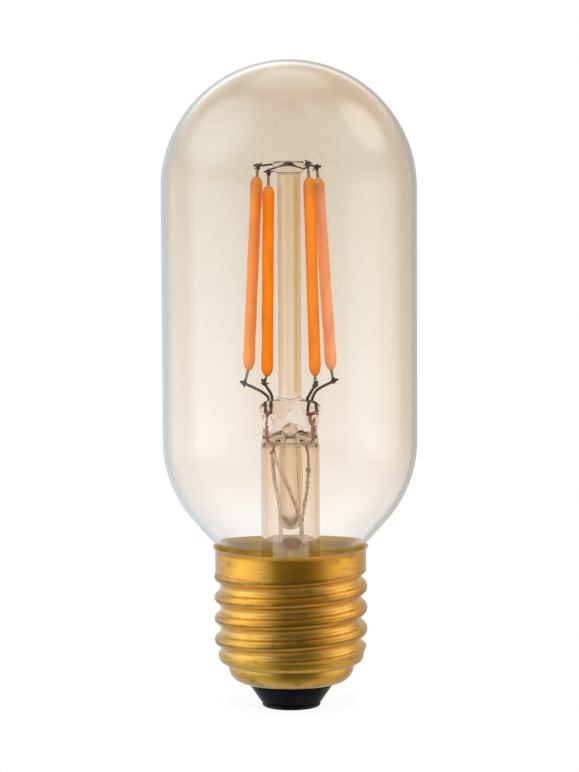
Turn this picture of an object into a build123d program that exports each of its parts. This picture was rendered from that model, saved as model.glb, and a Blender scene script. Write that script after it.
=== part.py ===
from build123d import *
import math
import os

# Tubular filament lamp on an Edison screw cap.
# Millimetres, +Z up the lamp's axis, origin at the foot of the centre contact.

# Glass envelope
overall_length = 110.2
glass_diameter = 43.2
glass_wall = 0.8
shoulder_angle = 42.0  # slope of the taper, in degrees from the axis
taper_run = 4.05  # straight part of the taper, measured outwards
neck_fillet = 4.0
neck_end = 15.0  # height of the neck's mouth, inside the cap

# Screw cap
thread_diameter = 26.1
thread_depth = 1.05
thread_pitch = 3.629
thread_crest_height = 15.2  # height of a crest on the -X side
thread_margin = 0.3  # room round the crests in the outline that ends the thread
thread_sink = 0.5  # depth that the thread runs on inside collar and skirt
upper_runout = 2.0
lower_runout = 2.9
root_flat = 0.365  # half of the flat root between two turns
ridge_gap = 0.2  # half of the gap between two turns of the ridge, under the root
cap_wall = 0.3
rim_height = 27.6
rim_flare = 0.4
rim_flare_height = 0.7
collar_step = 0.2  # the collar lies this much inside the crests
collar_height = 5.1
skirt_step = 0.65  # the plain band under the thread lies this much inside the crests
skirt_band = 1.6
skirt_corner = 1.2
skirt_bevel = 0.5
bowl_step = 1.7  # the bowl lies this much inside the skirt
bowl_wall_height = 0.65
bowl_corner = 2.6
bowl_height = 4.35
lip_width = 0.75

# Insulator and foot contact
contact_diameter = 10.0
contact_thickness = 0.86
contact_edge = 0.5
insulator_foot_diameter = 10.1
insulator_boss = 0.45
insulator_boss_diameter = 6.0
pin_diameter = 3.1
pin_stand = 0.5  # the pin's end over the boss

# Cement between neck and cap
neck_gap = 0.4
cement_low = 17.0
cement_band = 1.6  # height of the cement inside the collar
cement_clearance = 0.05

# Glass stem
tube_diameter = 10.0
tube_wall = 0.9
pinch_top = 52.7
pinch_height = 7.4
pinch_width = 10.4
pinch_thickness = 5.0
waist_width = 9.2
waist_thickness = 5.8
crown_width = 8.8
crown_cover = 0.4  # glass left round the rod's foot
widest_drop = 1.7  # widest place of the pinch, below its top
waist_drop = 5.5  # waist of the pinch, below its top
section_flat = 0.1  # half of the flat left between a pinch section's corners
seam_step = 0.06  # the pinch starts this much inside the tube
seam_depth = 0.5
cavity_corner = 2.2
cavity_drop = 6.9  # roof of the tube's hollow, below the pinch's top
exhaust_diameter = 4.2
exhaust_bore = 2.4
exhaust_seat = 1.1  # depth that the exhaust tube goes into the roof
exhaust_gap = 0.6  # from the driver's top to the exhaust tube's tip
exhaust_hole = 2.2
exhaust_hole_drop = 5.3
rod_diameter = 3.9
rod_foot = 1.5
button_diameter = 5.5
button_height = 1.95
button_edge = 0.7
headroom = 16.25  # from the button's top to the inside of the dome

# Filaments and their tabs
filament_diameter = 2.0
filament_end = 0.48
tab_width = 0.7
tab_thickness = 0.25
tab_root = 1.2  # length of a tab inside the coating
crimp_diameter = 0.96
crimp_length = 0.95

# Wires
wire_diameter = 0.48
wire_bend = 0.3
stub_reach = 0.9  # free end of a wire past its crimp
wire_cover = 0.4  # straight run of an upper wire inside the button's side
rear_wire_height = 1.35  # upper wires in the button, over its base
front_wire_height = 0.75
wire_arch = 0.12
seal_diameter = 0.6
knot_diameter = 1.1
knot_spread = 3.45
knot_drop = 2.3  # weld knots in the pinch, below its top
seal_offset = 0.1  # the seal wires' bend lies this much behind the middle
entry_rise = 0.3  # a lower lead is upright from here down
lead_diameter = 0.7
lead_bend = 0.4
fork_diameter = 1.5
fork_drop = 2.0  # where the left seal wire forks, below the roof
fork_angle = 198.5
bead_diameter = 1.0
bead_drop = 5.1  # bead on the right seal wire, below the roof
bead_angle = -10.0
landing_drop = 0.9  # ends of the leads on the board, below its top

# Driver in the cap
board_width = 6.0
board_thickness = 0.8
board_length = 16.4
film_width = 2.5
film_depth = 1.3
film_height = 1.6
film_drop = 0.4
film_shift = 0.2
film_corner = 0.4
rectifier_size = (3.6, 1.3, 4.4)
rectifier_drop = 8.0
chip_size = (3.0, 1.2, 2.9)
chip_drop = 6.8
package_stand = 0.1
package_bevel = 0.2
leg_width = 0.35
leg_thickness = 0.18
resistor_diameter = 2.3
resistor_length = 3.5
resistor_corner = 0.4
resistor_gap = 1.0
pigtail_diameter = 0.5
pigtail_spread = 1.2
pigtail_rise = 1.2
pigtail_bend = 0.4
part_offset = 5.0  # can and choke stand this far from the axis
part_floor = 0.3
can_diameter = 6.3
can_headroom = 1.3  # from the can's top to the neck's mouth
can_corner = 0.4
can_groove = 0.35
can_groove_drop = 1.2
choke_diameter = 5.0
choke_waist = 3.4
choke_headroom = 1.9
choke_flange = 1.0
shell_lead_diameter = 0.5
shell_lead_drop = 1.2
shell_lead_slope = 0.8
shell_lead_inset = 0.6
shell_lead_clearance = 0.1

# Sizes that follow from those above
glass_radius = glass_diameter / 2
dome_centre = overall_length - glass_radius
crest_radius = thread_diameter / 2
root_radius = crest_radius - thread_depth
collar_radius = crest_radius - collar_step
collar_low = rim_height - collar_height
collar_edge = collar_low + collar_radius - root_radius  # top of the collar's lower bevel
skirt_radius = crest_radius - skirt_step
bowl_radius = skirt_radius - bowl_step
bowl_seat = bowl_radius - bowl_corner
bowl_rise = bowl_height + bowl_corner
skirt_height = bowl_rise + bowl_wall_height
skirt_top = skirt_height + skirt_band
lip_radius = bowl_seat - lip_width
insulator_top = bowl_rise + insulator_boss
pin_top = insulator_top + pin_stand
neck_radius = root_radius - cap_wall - neck_gap
neck_straight = collar_edge + cement_band  # top of the straight neck
tube_radius = tube_diameter / 2
tube_bore = tube_radius - tube_wall
flare_radius = neck_radius - glass_wall
flare_arc = flare_radius - tube_radius
flare_centre = neck_end + tube_wall + flare_arc
pinch_low = pinch_top - pinch_height
crown_thickness = rod_diameter + 2 * crown_cover
button_radius = button_diameter / 2
button_top = overall_length - glass_wall - headroom
button_base = button_top - button_height
board_low = pin_top + 2 * resistor_gap + resistor_length
board_top = board_low + board_length
cavity_roof = pinch_top - cavity_drop
exhaust_top = cavity_roof + exhaust_seat
exhaust_tip = board_top + exhaust_gap
lane_radius = (exhaust_diameter / 2 + tube_bore) / 2  # leads run midway between the two tubes

# Plan place and height over the pinch of each filament's foot, and of its lower crimp.
filament_feet = {
    "left_outer": ((-7.0, 2.4, 4.7), (-7.7, 2.5, 2.5)),
    "left_inner": ((-3.8, -2.4, 4.2), (-4.3, -2.4, 3.1)),
    "right_inner": ((4.3, -2.4, 4.2), (4.3, -2.4, 2.7)),
    "right_outer": ((7.1, 2.4, 4.7), (7.4, 2.5, 2.8)),
}
# Upper crimp: direction from the axis, distance from the button's side, height over its base.
# Then the filament's head, as an offset from that crimp.
filament_heads = {
    "left_outer": ((166.0, 2.6, 1.1), (-0.2, 0.1, -1.8)),
    "left_inner": ((202.4, 0.95, 0.2), (0.0, -0.1, -2.3)),
    "right_inner": ((-23.6, 0.75, 1.5), (0.2, -0.1, -2.2)),
    "right_outer": ((15.5, 2.15, 0.9), (0.2, 0.1, -1.8)),
}
# Plan place where each lower lead enters the pinch, and the knee above it.
lead_entries = {
    "left_outer": ((-3.7, 0.45), (-4.6, 1.0, 1.1)),
    "left_inner": ((-3.0, -0.45), (-3.1, -0.9, 0.9)),
    "right_inner": ((3.0, -0.45), (3.2, -0.9, 0.7)),
    "right_outer": ((3.85, 0.45), (4.8, 1.0, 1.6)),
}
# Leads in the flare: directions from the axis, each with its share of the way down to the board.
lead_routes = {
    "left_lead": [(190.0, 0.03), (211.0, 0.29), (234.0, 0.57), (239.0, 0.8), (239.5, 1.0)],
    "cross_lead": [(207.0, 0.0), (238.0, 0.17), (270.0, 0.44), (300.0, 0.74), (311.0, 1.0)],
    "right_lead": [(-10.0, 0.0), (20.0, 0.33), (43.0, 0.64), (54.0, 1.0)],
}


def turned(*edges):
    """Solid of revolution about Z of a closed outline given as radius and height."""
    return revolve(Plane.XZ * make_face(edges), Axis.Z)


def turned_polygon(*points):
    """Solid of revolution of a straight-sided outline."""
    return turned(Polyline(*points, close=True))


def cylinder(radius, low, high, x=0.0, y=0.0):
    """Upright cylinder between two heights."""
    return Pos(x, y, (low + high) / 2) * Cylinder(radius, high - low)


def block(width, depth, low, high, x=0.0, y=0.0):
    """Upright block between two heights."""
    return Pos(x, y, (low + high) / 2) * Box(width, depth, high - low)


def bent_wire(points, diameter, bend):
    """Round wire along straight runs joined by arcs."""
    path = FilletPolyline(*points, radius=bend)
    section = Plane(origin=path @ 0, z_dir=path % 0) * Circle(diameter / 2)
    return sweep(section, path=path)


def along(start, end):
    """Plane at the middle of a line, with its normal along the line."""
    start, end = Vector(*start), Vector(*end)
    return Plane(origin=(start + end) / 2, x_dir=(0, -1, 0), z_dir=end - start)


def in_lane(angle, height):
    """Point of the ring between the exhaust tube and the flare's tube."""
    turn = math.radians(angle)
    return (lane_radius * math.cos(turn), lane_radius * math.sin(turn), height)


# Glass envelope

def envelope_line(inset):
    """Meridian of the glass at a depth under its outer skin, from dome to neck."""
    angle = math.radians(shoulder_angle)
    sine, cosine = math.sin(angle), math.cos(angle)
    fillet_x = neck_radius + neck_fillet
    taper_low = fillet_x - neck_fillet * cosine
    shoulder_arc = (glass_radius - taper_low - taper_run) / (1 - cosine)
    shoulder_x = glass_radius - shoulder_arc
    taper_rise = taper_run / math.tan(angle)
    shoulder_z = neck_straight + (neck_fillet + shoulder_arc) * sine + taper_rise
    outer = shoulder_arc - inset
    inner = neck_fillet + inset
    shoulder_end = (shoulder_x + outer * cosine, shoulder_z - outer * sine)
    fillet_end = (fillet_x - inner * cosine, neck_straight + inner * sine)
    side = glass_radius - inset
    throat = neck_radius - inset
    return [
        CenterArc((0, dome_centre), side, 0, 90),
        Line((side, dome_centre), (side, shoulder_z)),
        CenterArc((shoulder_x, shoulder_z), outer, 0, -shoulder_angle),
        Line(shoulder_end, fillet_end),
        CenterArc((fillet_x, neck_straight), inner, 180 - shoulder_angle, shoulder_angle),
        Line((throat, neck_straight), (throat, neck_end)),
    ]


def make_envelope():
    top = Line((0, overall_length), (0, overall_length - glass_wall))
    mouth = Line((neck_radius, neck_end), (neck_radius - glass_wall, neck_end))
    return turned(*envelope_line(0), *envelope_line(glass_wall), top, mouth)


# Screw cap

def thread_ridge(inset, low, high):
    """Ridge of the knuckle thread, carried up a helix, and the radius of the root between its turns.

    Crest and flanks are arcs of one radius. The root between two turns is a narrow flat.
    """
    flank = 2 * math.atan(thread_depth / (thread_pitch / 2))
    arc = thread_pitch / 4 / math.sin(flank)
    crest_arc, root_arc = arc - inset, arc + inset
    crest_centre = crest_radius - arc
    root_centre = crest_centre + 2 * arc * math.cos(flank)
    root = root_centre - math.sqrt(arc**2 - root_flat**2) - inset

    def on_root_arc(angle):
        return (root_centre - root_arc * math.cos(angle), thread_pitch / 2 - root_arc * math.sin(angle))

    foot_angle = math.asin(ridge_gap / root_arc)
    join = (crest_centre + crest_arc * math.cos(flank), crest_arc * math.sin(flank))
    middle = on_root_arc((flank + foot_angle) / 2)
    foot = on_root_arc(foot_angle)
    base = foot[0] - thread_sink
    section = make_face(
        [
            ThreePointArc((join[0], -join[1]), (crest_centre + crest_arc, 0), join),
            ThreePointArc(join, middle, foot),
            Polyline(foot, (base, foot[1]), (base, -foot[1]), (foot[0], -foot[1])),
            ThreePointArc((foot[0], -foot[1]), (middle[0], -middle[1]), (join[0], -join[1])),
        ]
    )
    helix = Helix(pitch=thread_pitch, height=high - low, radius=crest_radius)
    ridge = sweep(Plane.XZ * section, path=helix, is_frenet=True)
    start = 180 - 360 * (thread_crest_height - low) / thread_pitch
    return Pos(0, 0, low) * Rot(0, 0, start) * ridge, root


def thread_form(inset):
    """Thread between skirt and collar, its crests running out at both ends."""
    low = skirt_top - thread_sink
    high = collar_edge
    over = crest_radius + thread_margin - inset
    ends = turned_polygon(
        (0, low),
        (skirt_radius - inset - thread_sink / 2, low),
        (over, low + lower_runout),
        (over, high - upper_runout),
        (collar_radius - inset - thread_sink / 4, high),
        (0, high),
    )
    ridge, root = thread_ridge(inset, low - thread_pitch / 2, high + thread_pitch / 2)
    return (ridge + cylinder(root, low - thread_pitch, high + thread_pitch)) & ends


def collar_form(inset, top):
    """Collar with a bevel down to the thread's root and a rim that flares out."""
    collar = collar_radius - inset
    flare_low = rim_height - rim_flare_height
    mouth = (collar + rim_flare, rim_height)
    flare_middle = (collar + rim_flare * 0.3, rim_height - rim_flare_height * 0.4)
    return turned(
        Polyline(
            (0, top),
            (0, collar_low),
            (root_radius - inset, collar_low),
            (collar, collar_edge),
            (collar, flare_low),
        ),
        ThreePointArc((collar, flare_low), flare_middle, mouth),
        Polyline(mouth, (mouth[0] + top - rim_height, top), (0, top))
        if top > rim_height
        else Line(mouth, (0, top)),
    )


def skirt_form(inset):
    """Plain band under the thread, with a round lower corner."""
    corner_x = skirt_radius - skirt_corner
    corner_z = skirt_height + skirt_corner
    side = skirt_radius - inset
    floor = skirt_height + inset
    roof = skirt_top + skirt_bevel
    return turned(
        Polyline((0, roof), (0, floor), (corner_x, floor)),
        CenterArc((corner_x, corner_z), skirt_corner - inset, -90, 90),
        Polyline((side, corner_z), (side, skirt_top), (side - skirt_bevel, roof), (0, roof)),
    )


def bowl_form(inset):
    """Bowl that closes the cap below and holds the insulator."""
    floor = bowl_height + inset
    side = bowl_radius - inset
    roof = skirt_height + 2 * cap_wall
    return turned(
        Polyline((0, roof), (0, floor), (bowl_seat, floor)),
        CenterArc((bowl_seat, bowl_rise), bowl_corner - inset, -90, 90),
        Polyline((side, bowl_rise), (side, roof), (0, roof)),
    )


def cap_form(inset, top):
    """Cap as a full body, its skin moved inwards by the inset."""
    return thread_form(inset) + collar_form(inset, top) + skirt_form(inset) + bowl_form(inset)


def make_cap_shell():
    shell = cap_form(0, rim_height) - cap_form(cap_wall, rim_height + cap_wall)
    return shell - cylinder(lip_radius, 0, bowl_rise)


def make_insulator():
    lip_top = bowl_height + cap_wall
    outer = bowl_radius - cap_wall
    bore = pin_diameter / 2
    boss = insulator_boss_diameter / 2
    return turned(
        Polyline(
            (bore, insulator_top),
            (bore, contact_thickness),
            (insulator_foot_diameter / 2, contact_thickness),
            (lip_radius, bowl_height),
            (lip_radius, lip_top),
            (bowl_seat, lip_top),
        ),
        CenterArc((bowl_seat, bowl_rise), bowl_corner - cap_wall, -90, 90),
        Polyline(
            (outer, bowl_rise), (boss, bowl_rise), (boss, insulator_top), (bore, insulator_top)
        ),
    )


def make_contact_pin():
    head = cylinder(contact_diameter / 2, 0, contact_thickness)
    head = fillet(head.edges().group_by(Axis.Z)[0], contact_edge)
    return head + cylinder(pin_diameter / 2, contact_thickness, pin_top)


def make_cement():
    thread_side = root_radius - cap_wall - cement_clearance
    collar_side = collar_radius - cap_wall
    return turned_polygon(
        (neck_radius, cement_low),
        (thread_side, cement_low),
        (thread_side, collar_edge),
        (collar_side, collar_edge),
        (collar_side, neck_straight),
        (neck_radius, neck_straight),
    )


# Glass stem

def pinch_section(width, thickness, height):
    corner = min(width, thickness) / 2 - section_flat
    return Pos(0, 0, height) * RectangleRounded(width, thickness, corner)


def make_stem_glass():
    """Tube with a flared foot, closed and pressed flat at its top."""
    tube_top = pinch_low + seam_depth
    tube = turned(
        Polyline((0, tube_top), (tube_radius, tube_top), (tube_radius, flare_centre)),
        CenterArc((flare_radius, flare_centre), flare_arc, 180, 90),
        Line((flare_radius, neck_end + tube_wall), (flare_radius, neck_end)),
        CenterArc((flare_radius, flare_centre), flare_arc + tube_wall, 180, 90),
        Polyline((tube_bore, flare_centre), (0, flare_centre), (0, tube_top)),
    )
    foot = tube_diameter - 2 * seam_step
    press = loft(
        [
            pinch_section(foot, foot, pinch_low),
            pinch_section(waist_width, waist_thickness, pinch_top - waist_drop),
            pinch_section(pinch_width, pinch_thickness, pinch_top - widest_drop),
            pinch_section(crown_width, crown_thickness, pinch_top),
        ]
    )
    hollow = cylinder(tube_bore, flare_centre - tube_wall, cavity_roof)
    hollow = fillet(hollow.edges().group_by(Axis.Z)[-1], cavity_corner)
    return tube + press - hollow


def make_exhaust_tube():
    radius = exhaust_diameter / 2
    bore = exhaust_bore / 2
    centre = exhaust_tip + radius
    return turned(
        Line((0, centre - bore), (0, exhaust_tip)),
        CenterArc((0, centre), radius, -90, 90),
        Polyline((radius, centre), (radius, exhaust_top), (bore, exhaust_top), (bore, centre)),
        CenterArc((0, centre), bore, 0, -90),
    )


def exhaust_passage():
    """Seat of the exhaust tube, and the way from its bore out at the front of the pinch."""
    hole_height = pinch_top - exhaust_hole_drop
    seat = cylinder(exhaust_diameter / 2, cavity_roof - cavity_corner, exhaust_top)
    rise = cylinder(exhaust_bore / 2, exhaust_top - exhaust_seat, hole_height + exhaust_hole / 2)
    front = Pos(0, -pinch_width / 2, hole_height) * Rot(90, 0, 0)
    return seat + rise + front * Cylinder(exhaust_hole / 2, pinch_width)


def make_rod_glass():
    rod = cylinder(rod_diameter / 2, pinch_top - rod_foot, button_base)
    button = cylinder(button_radius, button_base, button_top)
    button = fillet(button.edges().filter_by(GeomType.CIRCLE), button_edge)
    return rod + button


# Filaments and the wires that hold them

def over_pinch(place):
    return Vector(place[0], place[1], pinch_top + place[2])


def upper_crimp(name):
    angle, reach, height = filament_heads[name][0]
    turn = math.radians(angle)
    radius = button_radius + reach
    return Vector(radius * math.cos(turn), radius * math.sin(turn), button_base + height)


def lower_crimp(name):
    return over_pinch(filament_feet[name][1])


def filament_foot(name):
    return over_pinch(filament_feet[name][0])


def filament_head(name):
    return upper_crimp(name) + Vector(*filament_heads[name][1])


def make_coating(name):
    foot, head = filament_foot(name), filament_head(name)
    body = Cylinder(filament_diameter / 2, (head - foot).length)
    body = fillet(body.edges().filter_by(GeomType.CIRCLE), filament_end)
    return along(foot, head) * body


def tab_blade(end, inside, crimp):
    """Flat strip from inside the coating to the wire."""
    root = end + (inside - end).normalized() * tab_root
    return along(root, crimp) * Box(tab_thickness, tab_width, (crimp - root).length)


def tab_roll(crimp, onward):
    """End of the tab, rolled round the wire."""
    half = (onward - crimp).normalized() * (crimp_length / 2)
    return along(crimp - half, crimp + half) * Cylinder(crimp_diameter / 2, crimp_length)


def lower_knee(name):
    return over_pinch(lead_entries[name][1])


def lower_lead_points(name):
    """Route from the free stub, straight through the crimp, to the knee and into the pinch."""
    x, y = lead_entries[name][0]
    crimp, knee = lower_crimp(name), lower_knee(name)
    stub = crimp + (crimp - knee).normalized() * stub_reach
    return [stub, knee, (x, y, pinch_top + entry_rise), (x, y, pinch_top - knot_drop)]


def button_entry(crimp, height):
    """Where an upper wire enters the button, level with its crimp in plan."""
    return Vector(math.copysign(button_radius - wire_cover, crimp.X), crimp.Y, button_base + height)


def upper_wire_points(left, right, height, arch):
    """Route from stub to stub through the crimps and the button, at a height over its base."""
    ends = []
    for crimp in (upper_crimp(left), upper_crimp(right)):
        entry = button_entry(crimp, height)
        ends.append((crimp + (crimp - entry).normalized() * stub_reach, entry))
    (left_stub, left_entry), (right_stub, right_entry) = ends
    middle = (left_entry + right_entry) / 2 + Vector(0, 0, arch)
    return [left_stub, left_entry, middle, right_entry, right_stub]


# Leads through the pinch and down the flare

def make_seal_wire(side, joint, joint_diameter):
    """Wire from the weld knot in the pinch to the joint in the flare, side is -1 or 1."""
    knot = (side * knot_spread, 0, pinch_top - knot_drop)
    roof = (side * lane_radius, seal_offset, cavity_roof + exhaust_seat / 2)
    wire = bent_wire([knot, roof, joint], seal_diameter, wire_bend)
    knot_ball = Pos(*knot) * Sphere(knot_diameter / 2)
    return wire + knot_ball + Pos(*joint) * Sphere(joint_diameter / 2)


def make_flexible_lead(name, start_height):
    """Lead down the ring between the two tubes, then level to the nearer face of the board."""
    fall = board_top - landing_drop - start_height
    points = [in_lane(angle, start_height + fall * share) for angle, share in lead_routes[name]]
    x, y, landing = points[-1]
    face = math.copysign(board_thickness / 2, y)
    return bent_wire([*points, (x, face, landing)], lead_diameter, lead_bend)


# Driver

def make_film_capacitor():
    high = board_top - film_drop
    y = -(board_thickness + film_depth) / 2
    body = block(film_width, film_depth, high - film_height, high, film_shift, y)
    return fillet(body.edges().filter_by(Axis.Y), film_corner)


def make_flat_package(size, drop, facing, leg_count):
    """Flat moulded package on a face of the board, with its legs bent to it. Facing is -1 or 1."""
    width, depth, height = size
    low = board_top - drop
    face = facing * board_thickness / 2
    centre = face + facing * (package_stand + depth / 2)
    body = block(width, depth, low, low + height, 0, centre)
    body = chamfer(body.edges().filter_by(Axis.Z), package_bevel)
    for row in range(leg_count):
        z = low + height * (row + 0.5) / leg_count
        lower, upper = z - leg_width / 2, z + leg_width / 2
        for x in (-width / 2, width / 2):
            tip = x + math.copysign(leg_width, x)
            body += block(2 * leg_width, leg_thickness, lower, upper, x, centre)
            foot_y = (face + centre) / 2
            body += block(leg_thickness, abs(centre - face) + leg_thickness, lower, upper, tip, foot_y)
    return body - block(board_width, board_thickness, low - height, low + 2 * height)


def with_pigtails(body, y, top):
    """Part beside the board with its two wires, which bend over to the board's face."""
    face = math.copysign(board_thickness / 2, y)
    bend_height = max(top, board_low) + pigtail_rise
    for x in (-pigtail_spread, pigtail_spread):
        points = [(x, y, top - pigtail_diameter), (x, y, bend_height), (x, face, bend_height)]
        body += bent_wire(points, pigtail_diameter, pigtail_bend)
    return body


def make_smoothing_capacitor():
    low = insulator_top + part_floor
    top = neck_end - can_headroom
    can = cylinder(can_diameter / 2, low, top, 0, part_offset)
    can = fillet(can.edges().filter_by(GeomType.CIRCLE), can_corner)
    groove = Pos(0, part_offset, top - can_groove_drop) * Torus(can_diameter / 2, can_groove)
    return with_pigtails(can - groove, part_offset, top)


def make_choke():
    low = insulator_top + part_floor
    top = neck_end - choke_headroom
    drum = cylinder(choke_waist / 2, low, top, 0, -part_offset)
    for start in (low, top - choke_flange):
        drum += cylinder(choke_diameter / 2, start, start + choke_flange, 0, -part_offset)
    return with_pigtails(drum, -part_offset, top)


def make_fuse_resistor():
    low = pin_top + resistor_gap
    body = cylinder(resistor_diameter / 2, low, low + resistor_length)
    body = fillet(body.edges().filter_by(GeomType.CIRCLE), resistor_corner)
    return body + cylinder(pigtail_diameter / 2, pin_top, board_low)


def make_shell_lead():
    reach = root_radius - cap_wall - shell_lead_clearance
    height = board_low - shell_lead_drop
    x = board_width / 2 - shell_lead_inset
    points = [(x, 0, board_low), (x, 0, height), (reach, 0, height - shell_lead_slope)]
    return bent_wire(points, shell_lead_diameter, pigtail_bend)


nodes = {}

rear_points = upper_wire_points("left_outer", "right_outer", rear_wire_height, wire_arch)
front_points = upper_wire_points("left_inner", "right_inner", front_wire_height, wire_arch)
rear_wire = bent_wire(rear_points, wire_diameter, wire_bend)
front_wire = bent_wire(front_points, wire_diameter, wire_bend)
nodes["rear_upper_wire"] = rear_wire
nodes["front_upper_wire"] = front_wire

lower_leads = {}
for name in filament_feet:
    foot, head = filament_foot(name), filament_head(name)
    low_crimp, high_crimp = lower_crimp(name), upper_crimp(name)
    lower_leads[name] = bent_wire(lower_lead_points(name), wire_diameter, wire_bend)
    outer = name.endswith("outer")
    upper_wire = rear_wire if outer else front_wire
    entry = button_entry(high_crimp, rear_wire_height if outer else front_wire_height)
    upper_blade = tab_blade(head, foot, high_crimp)
    lower_blade = tab_blade(foot, head, low_crimp)
    upper_roll = tab_roll(high_crimp, entry)
    lower_roll = tab_roll(low_crimp, lower_knee(name))
    nodes[name + "_lower_lead"] = lower_leads[name]
    nodes[name + "_upper_tab"] = upper_blade + upper_roll - upper_wire
    nodes[name + "_lower_tab"] = lower_blade + lower_roll - lower_leads[name]
    nodes[name + "_filament"] = make_coating(name) - upper_blade - lower_blade

fork = in_lane(fork_angle, cavity_roof - fork_drop)
bead = in_lane(bead_angle, cavity_roof - bead_drop)
left_lead = make_flexible_lead("left_lead", fork[2])
cross_lead = make_flexible_lead("cross_lead", fork[2])
right_lead = make_flexible_lead("right_lead", bead[2])
left_seal = make_seal_wire(-1, fork, fork_diameter)
right_seal = make_seal_wire(1, bead, bead_diameter)
nodes["left_seal_wire"] = (
    left_seal - lower_leads["left_outer"] - lower_leads["left_inner"] - left_lead - cross_lead
)
nodes["right_seal_wire"] = (
    right_seal - lower_leads["right_outer"] - lower_leads["right_inner"] - right_lead
)
nodes["left_lead"] = left_lead
nodes["cross_lead"] = cross_lead
nodes["right_lead"] = right_lead

rod = make_rod_glass()
stem = make_stem_glass() - exhaust_passage() - rod
for wire in (*lower_leads.values(), left_seal, right_seal):
    stem -= wire
nodes["stem_flare"] = stem
nodes["exhaust_tube"] = make_exhaust_tube()
nodes["support_rod"] = rod - rear_wire - front_wire
nodes["glass_envelope"] = make_envelope()

nodes["cap_shell"] = make_cap_shell()
nodes["insulator"] = make_insulator()
nodes["contact_pin"] = make_contact_pin()
nodes["cement_ring"] = make_cement()

nodes["driver_board"] = block(board_width, board_thickness, board_low, board_top)
nodes["film_capacitor"] = make_film_capacitor()
nodes["bridge_rectifier"] = make_flat_package(rectifier_size, rectifier_drop, facing=-1, leg_count=2)
nodes["driver_chip"] = make_flat_package(chip_size, chip_drop, facing=1, leg_count=3)
nodes["smoothing_capacitor"] = make_smoothing_capacitor()
nodes["choke"] = make_choke()
nodes["fuse_resistor"] = make_fuse_resistor()
nodes["shell_lead"] = make_shell_lead()

os.makedirs("parts", exist_ok=True)
for name, solid in nodes.items():
    export_step(solid, f"parts/{name}.step")
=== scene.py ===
import math
import bpy
import numpy as np
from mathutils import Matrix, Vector


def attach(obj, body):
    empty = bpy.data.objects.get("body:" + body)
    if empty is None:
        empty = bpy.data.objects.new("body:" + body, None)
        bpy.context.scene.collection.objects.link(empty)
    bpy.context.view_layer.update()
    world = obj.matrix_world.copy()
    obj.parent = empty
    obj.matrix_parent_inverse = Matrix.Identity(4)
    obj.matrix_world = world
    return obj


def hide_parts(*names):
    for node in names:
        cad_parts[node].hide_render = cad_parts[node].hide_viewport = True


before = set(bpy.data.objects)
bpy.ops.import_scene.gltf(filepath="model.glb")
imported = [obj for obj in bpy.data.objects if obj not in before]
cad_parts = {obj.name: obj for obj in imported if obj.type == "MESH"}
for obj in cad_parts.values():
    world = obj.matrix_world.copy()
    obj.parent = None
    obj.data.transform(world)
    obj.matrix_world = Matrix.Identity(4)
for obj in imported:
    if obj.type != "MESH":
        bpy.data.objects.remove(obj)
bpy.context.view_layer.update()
scene = bpy.context.scene
mm = 0.001
fullTurn = 2 * math.pi
print("frame loaded")


# Smooth line through stations of place and value: cubic pieces whose slopes never overshoot a station.
def throughStations(x, stations):
    xs, ys = np.array(stations, float).T
    step = np.diff(xs)
    slope = np.diff(ys) / step
    product = slope[:-1] * slope[1:]
    middle = np.where(product > 0, 2 * product / np.where(product > 0, slope[:-1] + slope[1:], 1), 0)
    tangent = np.concatenate([[slope[0]], middle, [slope[-1]]])
    i = np.clip(np.searchsorted(xs, x) - 1, 0, len(xs) - 2)
    t = np.clip((x - xs[i]) / step[i], 0, 1)
    rise = (3 - 2 * t) * t * t
    return (ys[i] * (1 - rise) + ys[i + 1] * rise
            + step[i] * t * (1 - t) * (tangent[i] * (1 - t) - tangent[i + 1] * t))


# Smooth ramp from 0 to 1 between two values.
def ramp(x, low, high):
    t = np.clip((x - low) / (high - low), 0, 1)
    return t * t * (3 - 2 * t)


# Sum of sine waves in three directions with fixed phases, from -1 to 1: a soft irregular field.
def softNoise(points, size, seed):
    rng = np.random.default_rng(seed)
    total = np.zeros(points.shape[:-1])
    for octave in range(5):
        direction = rng.normal(size=3)
        direction *= (1 + 0.35 * octave) / np.linalg.norm(direction)
        total += np.sin(points @ direction * (fullTurn / size) + rng.uniform(0, fullTurn))
    return total / 5


# Arc of a meridian: centre, radius and the angles of its ends, with a number of points.
def arcLine(centre, radius, start, end, count):
    turn = np.radians(np.linspace(start, end, count))
    return np.stack([centre[0] + radius * np.cos(turn), centre[1] + radius * np.sin(turn)], axis=1)


# Straight stretch of a meridian, in equal steps from end to end.
def straightLine(start, end, count):
    return np.linspace(start, end, count)


# Joins stretches of a meridian, dropping points that repeat.
def joinLines(*stretches):
    line = np.concatenate(stretches)
    keep = np.concatenate([[True], np.linalg.norm(np.diff(line, axis=0), axis=1) > 1e-6])
    return line[keep]


# Surface of revolution: each meridian point (radius, height) goes round the axis in equal steps.
def turnedGrid(line, count):
    turn = np.linspace(0, fullTurn, count, endpoint=False)
    radius = line[:, 0][:, None]
    height = np.broadcast_to(line[:, 1][:, None], (len(line), count))
    return np.stack([radius * np.cos(turn), radius * np.sin(turn), height], axis=2)


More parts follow.
